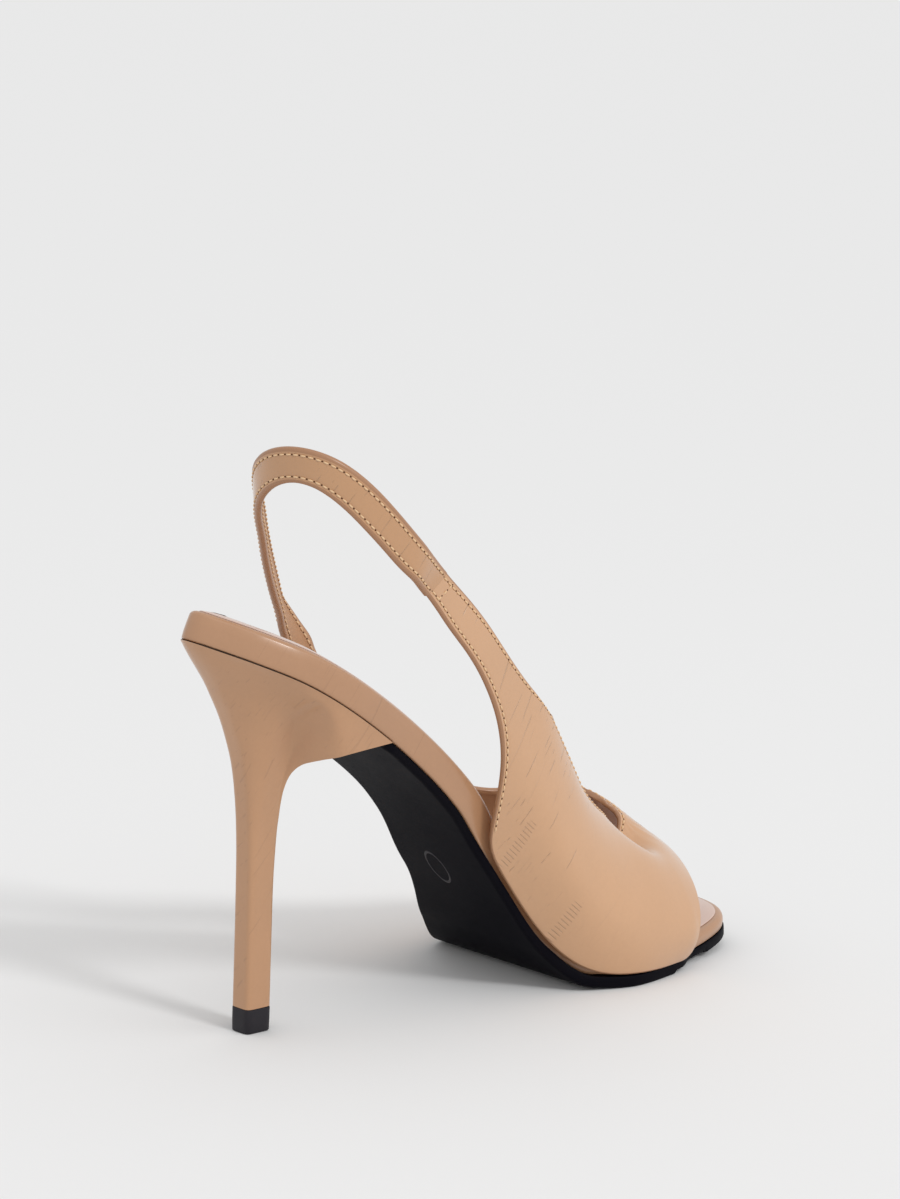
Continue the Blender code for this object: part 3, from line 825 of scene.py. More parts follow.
@dataclass
class Upper:
    """The vamp with its two wings: one hollow leather shell, lined and stitched."""

    form: Form
    rows: int = 320
    columns: int = 44
    crowding: float = 0.65
    fold_wobble: float = 0.6
    fold_wobbles: int = 5
    fold_from: float = 1.5
    fold_rise: float = 3.5
    fold_ahead: float = 0.6
    fold_fade: float = 3.0
    ease: int = 24
    held_turn: float = 0.985
    wing_fade: float = 6.0
    seam_rows: int = 3
    edge_drop: float = 0.02
    stitch_inset: float = 1.9
    channel: float = 0.16
    fold_depth: float = 0.10
    fold_reach: float = 12.0
    folds: int = 17

    def bare(self, columns: int) -> Array:
        """Gives the skin as cut, with as many points across as asked."""
        throat_run, throat_turn, edge_run, edge_turn = hands(self.rows)

        def across(share: Array) -> Array:
            """Gives points at shares of the way from the throat to the other edge."""
            run = throat_run[:, None] * (1 - share) + edge_run[:, None] * share
            turn = throat_turn[:, None] * (1 - share) + edge_turn[:, None] * share
            return self.form.on_last(run * self.form.length, turn)

        width = walk_of(across(np.linspace(0, 1, 9)[None, :]))[:, -1]
        wider = (np.clip(self.form.strap_width / width, 1, 2)[:, None] - 1) / 2
        tuck = (self.form.wall / 2 / width)[:, None] - wider
        even = np.linspace(0, 1, columns)
        close = ((1 - self.crowding) * even + self.crowding * both_ends(columns))[None, :]
        return eased(across(tuck + (1 - 2 * tuck) * close), self.ease)

    @cached_property
    def wing_rows(self) -> tuple[int, int]:
        """The rows where the outer wing meets the sole and where the inner one leaves it."""
        edge_turn = np.abs(hands(self.rows)[3])
        held = np.flatnonzero(edge_turn > self.held_turn)
        return int(held[0]), int(held[-1])

    def pressed(self, grid: Array) -> Array:
        """Says how deep the stitch channels are at each point, from 0 to 1."""
        walk = walk_of(grid) + self.form.wall / 2
        back = walk[:, -1:] + self.form.wall / 2 - walk
        rows = np.arange(len(grid))
        first, last = self.wing_rows
        wing = np.clip(np.maximum(first - rows, rows - last) / self.wing_fade, 0, 1)[:, None]
        return np.maximum(groove(walk, self.stitch_inset), groove(back, self.stitch_inset) * wing)

    def folded(self, grid: Array) -> Array:
        """Says how high the folds round the foot of the throat stand at each point, -1 to 1."""
        foot = int(np.argmax(hands(self.rows)[0]))
        offset = grid - grid[foot, 0]
        reach = np.linalg.norm(offset, axis=2)
        angle = np.arctan2(offset[..., 1], offset[..., 0])
        folds = np.sin(angle * self.folds + self.fold_wobble * np.sin(angle * self.fold_wobbles))
        folds *= np.exp(-((reach / self.fold_reach) ** 2))
        folds *= np.clip((reach - self.fold_from) / self.fold_rise, 0, 1)
        return folds * np.clip(offset[..., 0] / self.fold_fade + self.fold_ahead, 0, 1)

    @cached_property
    def shell(self) -> Leather:
        """The shell, with its stitch channels pressed in and its folds under the throat."""
        grid = self.bare(self.columns)
        lift = self.form.wall + self.fold_depth * self.folded(grid) - self.channel * self.pressed(grid)
        return Leather(grid + normals_of(grid) * lift[..., None], self.form.wall)

    def build(self, looks: Looks) -> None:
        """Makes the shell."""
        rings = self.shell.rings.copy()
        rings[..., 2] = np.maximum(rings[..., 2], self.form.rise(rings[..., 0]) - self.edge_drop)
        piece = Piece(self.form).rings(rings, self.shell.slots(), self.shell.places())
        materials = (looks[Look.PATENT], looks[Look.LINING], looks[Look.RIM])
        piece.finish("upper_leather", materials, "upper", ["upper"], sharp=70)

    def stitch(self, looks: Looks, stitching: Stitching) -> None:
        """Sews round the throat, down both wings and across both seams."""
        thread, holes = Piece(self.form), Piece(self.form)
        first, last = self.wing_rows
        near = self.seam_rows
        lines = [(Edge.THROAT, slice(0, self.rows))]
        lines += [(Edge.REAR, slice(0, first + 1)), (Edge.REAR, slice(last, self.rows))]
        for edge, rows in lines:
            line = self.shell.beside(edge, self.stitch_inset, stitching.sink, rows)
            stitching.sew(thread, holes, *line)
        for row in (near, self.rows - near - 1):
            line, out = self.shell.grid[row, near:-near], self.shell.normals[row, near:-near]
            stitching.sew(thread, holes, line, out)
        thread.finish("upper_stitching", (looks[Look.THREAD],), "upper")
        holes.finish("upper_needle_holes", (looks[Look.HOLE],), "upper")


@dataclass
class Sling:
    """The slack strap that goes round the heel, from seam to seam."""

    form: Form
    upper: Upper
    rows: int = 300
    columns: int = 18
    gap: float = 0.08
    lead: float = 3.0
    ease: int = 60
    settle: int = 10
    margin: int = 2
    outer_blend: float = 14.0
    inner_blend: float = 9.0
    crown: float = 0.12
    stitch_inset: float = 1.75
    channel: float = 0.16

    def seam(self, first: Array, second: Array) -> tuple[Array, Array]:
        """Gives the strap's end row at a seam of the upper, and the way it sets off."""
        ahead = (first - second).mean(axis=0)
        ahead /= np.linalg.norm(ahead)
        walk = walk_of(first[::-1])
        row = on_line(np.linspace(0, walk[-1], self.columns), walk, first[::-1])
        return row + ahead * self.gap, ahead

    @cached_property
    def shell(self) -> Leather:
        """The strap, with its stitch channels pressed in."""
        form, lead = self.form, self.lead
        bare = self.upper.bare(24)
        start, start_ahead = self.seam(bare[0], bare[2])
        stop, stop_ahead = self.seam(bare[-1], bare[-3])
        first, last = start.mean(axis=0), stop.mean(axis=0)
        table = np.array(SLING)
        rows = table[:, :3] * (form.length, form.ball_width, form.heel_rise)
        ends = [first, first + start_ahead * lead], [last + stop_ahead * lead, last]
        middles = np.concatenate([ends[0], rows, ends[1]])
        leans = table[[0, 0, *range(len(table)), -1, -1], 3]
        walk = walk_of(middles)
        fine = np.linspace(0, walk[-1], self.rows)
        middle = eased(np.stack([curve(walk, column)(fine) for column in middles.T], axis=1), self.ease)
        lean = np.radians(eased(curve(walk, leans)(fine), self.ease))[:, None]
        along = unit(np.gradient(middle, axis=0))
        outwards = unit(np.cross((0.0, 0.0, 1.0), along))
        across = np.cross(along, outwards) * np.cos(lean) + outwards * np.sin(lean)
        width = form.strap_width - form.strap_thick
        share = np.linspace(-0.5, 0.5, self.columns)
        offsets = across[:, None] * share[None, :, None] * width
        blends = ((start - first, fine, self.outer_blend), (stop - last, walk[-1] - fine, self.inner_blend))
        for row, away, blend in blends:
            near = smooth(np.clip(1 - (away - lead) / blend, 0, 1))[:, None, None]
            offsets = offsets * (1 - near) + row[None] * near
        grid = eased(middle[:, None] + offsets, self.settle)
        inset = (0.5 - np.abs(share)) * width + form.strap_thick / 2
        lift = self.crown * (1 - (2 * share) ** 2) - self.channel * groove(inset, self.stitch_inset)
        return Leather(grid + normals_of(grid) * (lift + form.wall)[None, :, None], form.strap_thick)

    def build(self, looks: Looks) -> None:
        """Makes the strap."""
        piece = Piece(self.form).rings(self.shell.rings, self.shell.slots(), self.shell.places())
        materials = (looks[Look.STRAP], looks[Look.LINING], looks[Look.RIM])
        piece.finish("sling_leather", materials, "sling_strap", ["sling_strap"], sharp=70)

    def stitch(self, looks: Looks, stitching: Stitching) -> None:
        """Sews along both edges, with the thread showing on both faces."""
        thread, holes = Piece(self.form), Piece(self.form)
        rows = slice(self.margin, self.rows - self.margin)
        for edge in Edge:
            for lifted in (stitching.sink, -stitching.sink):
                stitching.sew(thread, holes, *self.shell.beside(edge, self.stitch_inset, lifted, rows))
        thread.finish("sling_stitching", (looks[Look.THREAD],), "sling_strap")
        holes.finish("sling_needle_holes", (looks[Look.HOLE],), "sling_strap")


@dataclass
class Bed:
    """The wrapped footbed and the insole that lies on it."""

    form: Form
    rows: int = 200
    roll: float = 1.7
    roll_turns: tuple[float, ...] = (15, 35, 55, 75, 90)
    side_shares: tuple[float, ...] = (0.3, 0.45, 0.6)
    bulge: float = 0.1
    inside: float = 4.0
    sock_gap: float = 0.06

    def slab(self, layers: Rows) -> Array:
        """Gives closed rings round the sole.

        Args:
            layers: the inset and the height over the joint line of each ring.

        Returns:
            An array of rings.
        """
        runs = self.form.stations(self.rows)
        rings = []
        for inset, height in layers:
            plan = self.form.outline(runs, inset)
            level = np.broadcast_to(height, (len(runs),))
            rings.append(self.form.on_bed(plan[:, 0], plan[:, 1], looped(level, level)))
        return np.array(rings)

    def build_footbed(self, looks: Looks) -> None:
        """Makes the leather-wrapped board with its rolled edges."""
        edge, roll = self.form.bed_inset, self.roll
        side = edge - self.bulge
        thick = self.form.thick(self.form.stations(self.rows))
        layers = [(edge + inset, height) for inset, height in BED_FOOT]
        layers += [(side, thick * share) for share in self.side_shares]
        for turn in np.radians(self.roll_turns):
            layers.append((side + roll * (1 - np.cos(turn)), thick - roll * (1 - np.sin(turn))))
        layers.append((edge + self.inside, thick))
        piece = Piece(self.form).rings(self.slab(layers))
        piece.finish("footbed_wrap", (looks[Look.WRAP],), "footbed", ["footbed"], sharp=60)

    def build_insole(self, looks: Looks) -> None:
        """Makes the insole cover with its turned edge."""
        form = self.form
        level = form.thick(form.stations(self.rows)) + self.sock_gap
        layers = [(form.sock_inset + inset, level + height) for inset, height in SOCK_EDGE]
        piece = Piece(form).rings(self.slab(layers))
        piece.finish("insole_cover", (looks[Look.INSOLE],), "insole", ["insole"], sharp=60)


@dataclass
class Outsole:
    """The dark outsole with its two tread pads."""

    form: Form
    gap: float = 2.0
    inset: float = 1.3
    breast_rim: float = 1.1
    breast_gap: float = 0.8
    wrap_gap: float = 0.2
    wing_end: float = 1.5
    tip_from: float = 0.84
    drawn_from: tuple[float, float] = (0.81, 0.88)
    drawn: float = 0.9
    closest: float = 0.12
    slimmest: float = 0.05
    pad_edge: float = 1.2
    pad_fade: tuple[float, float] = (6.0, 12.0)

    @property
    def pads(self) -> Array:
        """Where the two pads start and end."""
        return np.array(TREAD_PADS).ravel() * self.form.length

    def step(self, s: Array) -> Array:
        """Says how much of the tread step there is at s, from 0 to 1."""
        ball, ball_end, toe, toe_end = self.pads
        edge, (before, after) = self.pad_edge, self.pad_fade
        places = (0, ball - before, ball + after, ball_end, ball_end + edge)
        places += (toe - edge, toe, toe_end, toe_end + edge, self.form.length)
        return np.interp(s, places, (0, 0, 1, 1, 0, 0, 1, 1, 0, 0))

    def runs(self) -> Array:
        """Gives runs from the heel's wings to the tip, close together where the edge turns."""
        form = self.form
        start = form.breast + self.gap
        quarter = np.linspace(0, 1, 24) * math.pi / 2
        wings = start + (form.wing + self.wing_end - start) * (1 - np.cos(quarter))
        middle = np.linspace(form.wing + 2 * self.wing_end, self.tip_from * form.length, 90)
        quarter = np.linspace(0, 1, 40) * math.pi / 2
        tip = form.length * (self.tip_from + (1 - self.tip_from) * np.sin(quarter))
        edges = self.pads[1:] + np.array((1, -1, 1)) * self.pad_edge
        runs = np.unique(np.round(np.concatenate([wings, middle, tip, self.pads, edges]), 3))
        return runs[np.append(np.diff(runs) > self.closest, True)]

    def sides(self, runs: Array) -> list[Array]:
        """Gives the half widths on the outer and the inner side."""
        form = self.form
        drawn = np.interp(runs / form.length, self.drawn_from, (0, self.drawn))
        inset = self.inset - (self.inset - self.wrap_gap + form.wall) * form.wrap(runs) - drawn
        inset = np.clip(inset, self.wrap_gap - form.wall, self.inset)
        opened = form.wing_opening(runs - self.gap)
        sides = []
        for outer in (True, False):
            half = form.half(runs, outer)
            inside = np.minimum(half - inset, opened * (half - self.breast_rim) - self.breast_gap)
            side = np.clip(np.where(runs > form.wing + 1.4, half - inset, inside), 0.0, None)
            side[-1] = 0.0
            sides.append(side)
        return sides

    def build(self, looks: Looks) -> None:
        """Makes the outsole."""
        runs = self.runs()
        outer, inner = self.sides(runs)
        bottom = self.form.outsole + self.form.tread * self.step(runs)
        layers = [(narrow, height - bottom) for narrow, height in SOLE_FOOT]
        layers += [(narrow, height + 0 * runs) for narrow, height in SOLE_RIM]
        rings = []
        for narrow, height in layers:
            left = np.stack([runs, -np.clip(outer - narrow, self.slimmest, None)], axis=1)
            right = np.stack([runs, np.clip(inner - narrow, self.slimmest, None)], axis=1)
            left[0, 1] = left[-1, 1] = 0.0
            left[-1, 0] -= narrow
            plan = looped(left, right)
            ring = self.form.on_bed(plan[:, 0], plan[:, 1], looped(height, height))
            ring[:, 2] = np.maximum(ring[:, 2], 0.0)
            rings.append(ring)
        piece = Piece(self.form).rings(np.array(rings))
        piece.finish("outsole_rubber", (looks[Look.RUBBER],), "outsole", ["outsole"], sharp=35)


@dataclass
class Heel:
    """The covered heel with its wings, and the lift under its stem."""

    form: Form
    soft: float = 2 / 5.6
    breast_rim: float = 1.35
    lift_gap: float = 0.08
    corner: float = 0.25
    gap_fill_inset: float = 1.0
    slimmest: float = 0.05
    gap_fill: tuple[float, float] = (-0.28, -0.02)
    side_count: int = 41
    wing_count: int = 21

    def stem(self, turns: Array, grow: float = 0.0) -> tuple[Array, Array]:
        """Gives the stem's section, a square with soft corners."""
        form = self.form
        run = np.sign(np.cos(turns)) * np.abs(np.cos(turns)) ** self.soft
        side = np.sign(np.sin(turns)) * np.abs(np.sin(turns)) ** self.soft
        half_run, half_side = form.stem_length / 2 + grow, form.stem_width / 2 + grow
        return form.stem_run + run * half_run, -side * half_side

    def seat(self) -> tuple[Array, int, int]:
        """Lays the loop of points under the footbed: round the seat and back along the breast.

        Returns:
            The loop's runs and sides, and how many of its runs are on a side and in the wings.
        """
        form = self.form
        back = form.breast * (1 - np.cos(np.linspace(0, 1, self.side_count) * math.pi / 2))
        quarter = np.linspace(0, 1, self.wing_count)[1:] * math.pi / 2
        runs = np.concatenate([back, form.breast + (form.wing - form.breast) * np.sin(quarter)])
        plan = form.outline(form.stations(160), form.bed_inset)
        half = len(plan) // 2
        inner_loop = np.concatenate([plan[:1], plan[half:][::-1]])
        reach = np.maximum(runs, plan[0, 0])
        outer = curve(plan[: half + 1, 0], -plan[: half + 1, 1])(reach)
        inner = curve(inner_loop[:, 0], inner_loop[:, 1])(reach)
        outer[0] = inner[0] = 0.0
        breast = runs[self.side_count - 1 :][::-1]
        share = form.wing_opening(breast)
        outer_breast = share * (form.half(breast, True) - self.breast_rim)
        inner_breast = share * (form.half(breast, False) - self.breast_rim)
        run = np.concatenate([reach, breast, breast[:-1][::-1], reach[1:][::-1]])
        side = np.concatenate([-outer, -outer_breast, inner_breast[:-1][::-1], inner[1:][::-1]])
        return np.stack([run, side], axis=1), len(runs), len(breast)

    def build(self, looks: Looks) -> None:
        """Makes the heel from its slim stem up to the wings under the footbed."""
        form = self.form
        loop, count, breast_count = self.seat()
        top = form.on_bed(loop[:, 0], loop[:, 1], -form.joint)
        around_side = math.pi - np.linspace(0, 1, count) ** 0.8 * (math.pi * (1 - self.corner))
        around_breast = math.pi * self.corner * (1 - np.linspace(0, 1, breast_count))
        half_turn = np.concatenate([around_side, around_breast])
        turns = np.concatenate([half_turn, -half_turn[1:-1][::-1]])
        foot_run, foot_side = self.stem(turns)
        foot = np.stack([foot_run, foot_side, np.full(len(turns), form.lift + self.lift_gap)], axis=1)
        forward = smooth(np.clip(loop[:, 0] / form.wing, 0, 1))
        forward[count : count + 2 * breast_count - 1] = 1.0
        rows = np.array(HEEL)
        flares = [curve(rows[:, 0], rows[:, i]) for i in (1, 2, 3)]
        rings = []
        for height in np.unique(np.concatenate([np.linspace(*part) for part in HEEL_STEPS])):
            back, front, wing = (flare(height) for flare in flares)
            along = (1 - forward) * back + forward * front
            across = (1 - forward) * back + forward * wing
            shares = np.stack([along, across, np.full(len(along), height)], axis=1)
            rings.append(foot + (top - foot) * shares)
        faces = self.faces(len(rings), len(top), count)
        piece = Piece(form).add(np.concatenate(rings), faces)
        piece.finish("heel_cover", (looks[Look.HEEL],), "heel", ["heel"], sharp=50)

    def faces(self, rows: int, total: int, count: int) -> list[tuple[int, ...]]:
        """Gives the heel's faces.

        Args:
            rows: how many rings it has.
            total: how many points each ring has.
            count: how many of them lie on one side, up to the wing's end.

        Returns:
            The corners of each face.
        """
        base, breast = (rows - 1) * total, self.side_count - 1
        faces = bands(rows, total)
        faces += [face[::-1] for face in rungs(total, total // 2)]
        faces += rungs(total, breast, base)
        for i in range(breast, count - 1):
            partner = 2 * count - 1 - i
            corners = (i, i + 1, partner - 1, partner)
            faces.append(tuple(base + corner for corner in corners))
            faces.append(tuple(base + (total - corner) % total for corner in corners[::-1]))
        faces.append((base + breast, base + total // 2, base + (total - breast) % total))
        return faces

    def build_lift(self, looks: Looks) -> None:
        """Makes the rubber lift under the stem."""
        turns = math.pi - around(96)
        lift = self.form.lift
        layers = ((-0.5, 0.0), (-0.15, 0.1), (0.0, 0.4), (0.06, lift * 0.5), (0.06, lift - 0.35))
        rings = []
        for grow, height in layers + ((0.0, lift - 0.1), (-0.15, lift)):
            run, side = self.stem(turns, grow)
            rings.append(np.stack([run, side, np.full(len(run), height)], axis=1))
        piece = Piece(self.form).rings(np.array(rings))
        piece.finish("lift_rubber", (looks[Look.LIFT],), "top_lift", ["top_lift"], sharp=35)

    def build_joint(self, looks: Looks) -> None:
        """Makes a dark filler in the gap between the heel and the footbed, which paints the shade in that
        gap.
        """
        form = self.form
        runs = 2.2 + (form.wing - 3.4) * both_ends(60)
        outer = np.clip(form.half(runs, True) - self.gap_fill_inset, self.slimmest, None)
        inner = np.clip(form.half(runs, False) - self.gap_fill_inset, self.slimmest, None)
        plan = np.concatenate([np.stack([runs, -outer], axis=1), np.stack([runs, inner], axis=1)[::-1]])
        rings = [form.on_bed(plan[:, 0], plan[:, 1], height) for height in self.gap_fill]
        Piece(form).rings(np.array(rings)).finish("heel_joint", (looks[Look.GAP_SHADE],), "heel")


@dataclass
class Stamp:
    """The small ring pressed into the arch of the outsole."""

    form: Form
    run: float = 96.7
    side: float = 0.4
    radius: float = 3.7
    line: float = 0.3
    narrow: float = 0.9

    def build(self, looks: Looks) -> None:
        """Makes the ring, which follows the arch's slope."""
        turns = around(72)
        rings = []
        for offset, depth in RING:
            size = self.radius + offset * self.line
            run = self.run + np.cos(turns) * size
            side = self.side + np.sin(turns) * size * self.narrow
            rings.append(self.form.on_bed(run, side, -self.form.outsole - depth))
        piece = Piece(self.form).add(np.concatenate(rings), bands(len(rings), len(turns), closed=True))
        piece.finish("arch_ring", (looks[Look.LIFT],), "outsole")


@dataclass(frozen=True)
class Value:
    """A number that nodes work out, for plain sums with numbers and with its like."""

    shader: "Shader"
    socket: Socket

    def __add__(self, other: "Value | float") -> "Value":
        """Adds."""
        return self.shader.math("ADD", self, other)

    def __sub__(self, other: "Value | float") -> "Value":
        """Subtracts."""
        return self.shader.math("SUBTRACT", self, other)

    def __rsub__(self, other: float) -> "Value":
        """Subtracts from a number."""
        return self.shader.math("SUBTRACT", other, self)

    def __mul__(self, other: "Value | float") -> "Value":
        """Multiplies."""
        return self.shader.math("MULTIPLY", self, other)

    def __abs__(self) -> "Value":
        """Drops the sign."""
        return self.shader.math("ABSOLUTE", self)


class Shader:
    """A node tree under construction."""

    def __init__(self, tree: Tree) -> None:
        """Takes a tree and clears it."""
        self.tree = tree
        tree.nodes.clear()

    def node(self, kind: str, **settings: object) -> bpy.types.Node:
        """Adds a node of a kind and sets its properties."""
        made = self.tree.nodes.new(kind)
        for name, value in settings.items():
            setattr(made, name, value)
        return made

    def feed(self, target: Socket, given: "Value | Socket | float") -> None:
        """Wires a value or a socket to an input, or sets a number there."""
        if isinstance(given, Value):
            given = given.socket
        if isinstance(given, Socket):
            self.tree.links.new(given, target)
        else:
            target.default_value = given

    def math(self, operation: str, *given: Value | float) -> Value:
        """Works out one value from one or two."""
        made = self.node("ShaderNodeMath", operation=operation)
        for target, value in zip(made.inputs, given):
            self.feed(target, value)
        return Value(self, made.outputs[0])

    def step(self, value: Value, low: float, high: float) -> Value:
        """Passes a value through a soft step from low to high."""
        made = self.node("ShaderNodeMapRange", interpolation_type="SMOOTHSTEP")
        for name, given in (("Value", value), ("From Min", low), ("From Max", high)):
            self.feed(made.inputs[name], given)
        return Value(self, made.outputs["Result"])

    def place(self) -> Socket:
        """Gives the place on the object, in metres."""
        return self.node("ShaderNodeTexCoord").outputs["Object"]

    def noise(self, place: Socket, scale: float, detail: float) -> Value:
        """Adds a noise texture and gives its value."""
        made = self.node("ShaderNodeTexNoise")
        for name, given in (("Vector", place), ("Scale", scale), ("Detail", detail)):
            self.feed(made.inputs[name], given)
        return Value(self, made.outputs["Fac"])

    def parts(self, place: Socket) -> list[Value]:
        """Splits coordinates into X, Y and Z."""
        made = self.node("ShaderNodeSeparateXYZ")
        self.feed(made.inputs[0], place)
        return [Value(self, output) for output in made.outputs]

    def stretched(self, place: Socket, turn: float, scale: Sequence[float]) -> Socket:
        """Turns coordinates about X by degrees, then stretches them."""
        for name, given in (("Rotation", (math.radians(turn), 0.0, 0.0)), ("Scale", scale)):
            made = self.node("ShaderNodeMapping")
            self.feed(made.inputs["Vector"], place)
            made.inputs[name].default_value = given
            place = made.outputs["Vector"]
        return place


def tick_marks(tree: Shader, place: Socket) -> Value:
    """Draws the two combs of short upright marks on the outer wing.

    Args:
        tree: the tree that takes the nodes.
        place: object coordinates in metres.

    Returns:
        The marks, from 0 to 1.
    """
    x, y, z = tree.parts(place)
    level, tilt = COMB_TILT
    wave = tree.math("FRACT", (z + y * -0.9) * COMB_PITCH)
    line = 1.0 - tree.step(abs(wave - 0.5), *MARK_EDGE)
    combs = []
    for middle_y, middle_z, length in COMBS:
        beside, over = y - middle_y, z - middle_z
        run = beside * -tilt + over * level
        off = beside * level + over * tilt
        near = tree.step(abs(run), length, length * 0.8)
        combs.append(near * tree.step(abs(off), *COMB_EDGE))
    outside = tree.step(x, *WING_EDGE)
    return tree.math("MAXIMUM", *combs) * outside * line


def crease_group() -> Tree:
    """Makes the group that lays fine straight creases over the leather.

    Returns:
        A node group with the outputs Height and Crease.
    """
    group = bpy.data.node_groups.new("leather creases", "ShaderNodeTree")
    for name in ("Height", "Crease"):
        group.interface.new_socket(name, in_out="OUTPUT", socket_type="NodeSocketFloat")
    tree = Shader(group)
    place = tree.place()
    layers = []
    for turn, pitch, broken, patch, share in CREASES:
        across, along, _ = tree.parts(tree.stretched(place, turn, (pitch * 0.6, pitch, 1)))
        phase = across + along + tree.noise(place, 25, 0.0) * 3.0
        line = 1.0 - tree.step(abs(tree.math("FRACT", phase) - 0.5), *CREASE_EDGE)
        pieces = tree.noise(tree.stretched(place, turn, broken), 1.0, 1.0)
        spots = tree.noise(place, patch, 2.0)
        layers.append(line * tree.step(pieces, share, share + 0.06) * tree.step(spots, *CREASE_SPOTS))
    crease = tree.math("MAXIMUM", tree.math("MAXIMUM", *layers[:2]), layers[2])
    crease = crease * tree.step(tree.parts(place)[1], *CREASE_START)
    crease = tree.math("MAXIMUM", crease, tick_marks(tree, place))
    swell = tree.noise(tree.stretched(place, CREASES[0][0], (180, 180, 40)), 1.0, 2.0)
    out = tree.node("NodeGroupOutput")
    tree.feed(out.inputs["Height"], swell * 0.5 - crease + tree.noise(place, 1400, 2.0) * 0.12)
    tree.feed(out.inputs["Crease"], crease)
    return group


def tone_group() -> Tree:
    """Makes the group that varies a finish's colour and gloss a little, and darkens the colour in the
    creases as painted shade.

    Returns:
        A node group with the inputs Color and Crease and the outputs Color and Gloss.
    """
    group = bpy.data.node_groups.new("leather tone", "ShaderNodeTree")
    for side, name in (("INPUT", "Crease"), ("OUTPUT", "Gloss")):
        group.interface.new_socket("Color", in_out=side, socket_type="NodeSocketColor")
        group.interface.new_socket(name, in_out=side, socket_type="NodeSocketFloat")
    tree = Shader(group)
    given = tree.node("NodeGroupInput")
    place = tree.place()
    cloud = tree.noise(place, 55, 3.0)
    fine = tree.noise(place, 900, 2.0)
    crease = Value(tree, given.outputs["Crease"])
    # The two noises vary the tone at random; the Crease term darkens the creases as painted shade, and the
    # comb marks with them.
    tone_and_painted_crease_shade = cloud * 0.10 + fine * 0.06 + 0.92 - crease * 0.12
    tint = tree.node("ShaderNodeVectorMath", operation="SCALE")
    tree.feed(tint.inputs["Vector"], given.outputs["Color"])
    tree.feed(tint.inputs["Scale"], tone_and_painted_crease_shade)
    out = tree.node("NodeGroupOutput")
    tree.feed(out.inputs["Color"], tint.outputs["Vector"])
    tree.feed(out.inputs["Gloss"], cloud * 0.16 + fine * 0.08)
    return group


@dataclass(frozen=True)
class Finish:
    """What a surface looks like.

    Attributes:
        name: the material's name.
        colour: its colour, as linear red, green and blue.
        roughness: the roughness, about which the tone group varies it.
        coat: the weight of its clear coat.
        coat_roughness: the roughness of that coat.
        specular: the specular level.
        crease: the depth of the creases in millimetres.
        grain: the depth of the grain where there are no creases, in millimetres.
    """

    name: str
    colour: tuple[float, float, float]
    roughness: float
    coat: float = 0.0
    coat_roughness: float = 0.2
    specular: float = 0.5
    crease: float = 0.0
    grain: float = 0.04

    def make(self, creases: Tree, tones: Tree) -> Material:
        """Makes the material.

        Args:
            creases: the shared group of creases.
            tones: the shared group that varies colour and gloss.

        Returns:
            The material.
        """
        material = bpy.data.materials.new(self.name)
        material.use_nodes = True
        material.diffuse_color = (*self.colour, 1.0)
        tree = Shader(material.node_tree)
        out = tree.node("ShaderNodeOutputMaterial")
        shader = tree.node("ShaderNodeBsdfPrincipled")
        tone = tree.node("ShaderNodeGroup", node_tree=tones)
        bump = tree.node("ShaderNodeBump")
        if self.crease:
            crease = tree.node("ShaderNodeGroup", node_tree=creases)
            # The creases also darken the colour through the tone group: painted shade in the creases.
            tree.feed(tone.inputs["Crease"], crease.outputs["Crease"])
            height = crease.outputs["Height"]
        else:
            height = tree.noise(tree.place(), 1800, 2.0)
        for node, name, given in (
            (shader, "Specular IOR Level", self.specular),
            (shader, "Coat Weight", self.coat),
            (shader, "Coat Roughness", self.coat_roughness),
            (tone, "Color", (*self.colour, 1.0)),
            (shader, "Base Color", tone.outputs["Color"]),
            (shader, "Roughness", Value(tree, tone.outputs["Gloss"]) + (self.roughness - 0.12)),
            (bump, "Height", height),
            (bump, "Distance", (self.crease or self.grain) / MM),
            (bump, "Strength", 1.0),
            (shader, "Normal", bump.outputs["Normal"]),
            (out, "Surface", shader.outputs["BSDF"]),
        ):
            tree.feed(node.inputs[name], given)
        return material


class Look(Enum):
    """The sandal's finishes."""

    PATENT = Finish("glossed leather", (0.57, 0.325, 0.175), 0.32, 0.7, 0.12, crease=0.14)
    STRAP = Finish("glossed strap leather", (0.49, 0.262, 0.125), 0.30, 0.8, 0.10, crease=0.10)
    LINING = Finish("lining leather", (0.46, 0.25, 0.13), 0.5, 0.1, 0.3, crease=0.04)
    RIM = Finish("cut leather edge", (0.36, 0.18, 0.09), 0.4, 0.3, 0.2)
    WRAP = Finish("footbed leather", (0.42, 0.225, 0.12), 0.36, 0.4, 0.18, crease=0.03)
    # The insole's own pinkish tone, lightened and made pinker to paint the highlight that lies on the
    # insole at the toe.
    INSOLE = Finish("insole leather", (0.60, 0.43, 0.36), 0.35, 0.4, 0.15, crease=0.03)
    HEEL = Finish("heel cover leather", (0.475, 0.255, 0.132), 0.36, 0.4, 0.18, crease=0.03)
    RUBBER = Finish("dark sole", (0.0025, 0.0022, 0.0045), 0.55, specular=0.05)
    LIFT = Finish("dark lift", (0.013, 0.011, 0.015), 0.45, specular=0.3)
    THREAD = Finish("stitching thread", (0.72, 0.49, 0.29), 0.6, specular=0.3)
    # Dark patches at the needle holes: painted shade inside the holes.
    HOLE = Finish("needle holes with painted shade", (0.10, 0.042, 0.02), 0.8, specular=0.1)
    # Dark filler that paints the shade in the gap between the heel and the footbed.
    GAP_SHADE = Finish("painted gap shade", (0.03, 0.017, 0.012), 0.7, specular=0.2)


def made_looks() -> Looks:
    """Makes the material of every look, with their shared node groups."""
    groups = crease_group(), tone_group()
    return {look: look.value.make(*groups) for look in Look}


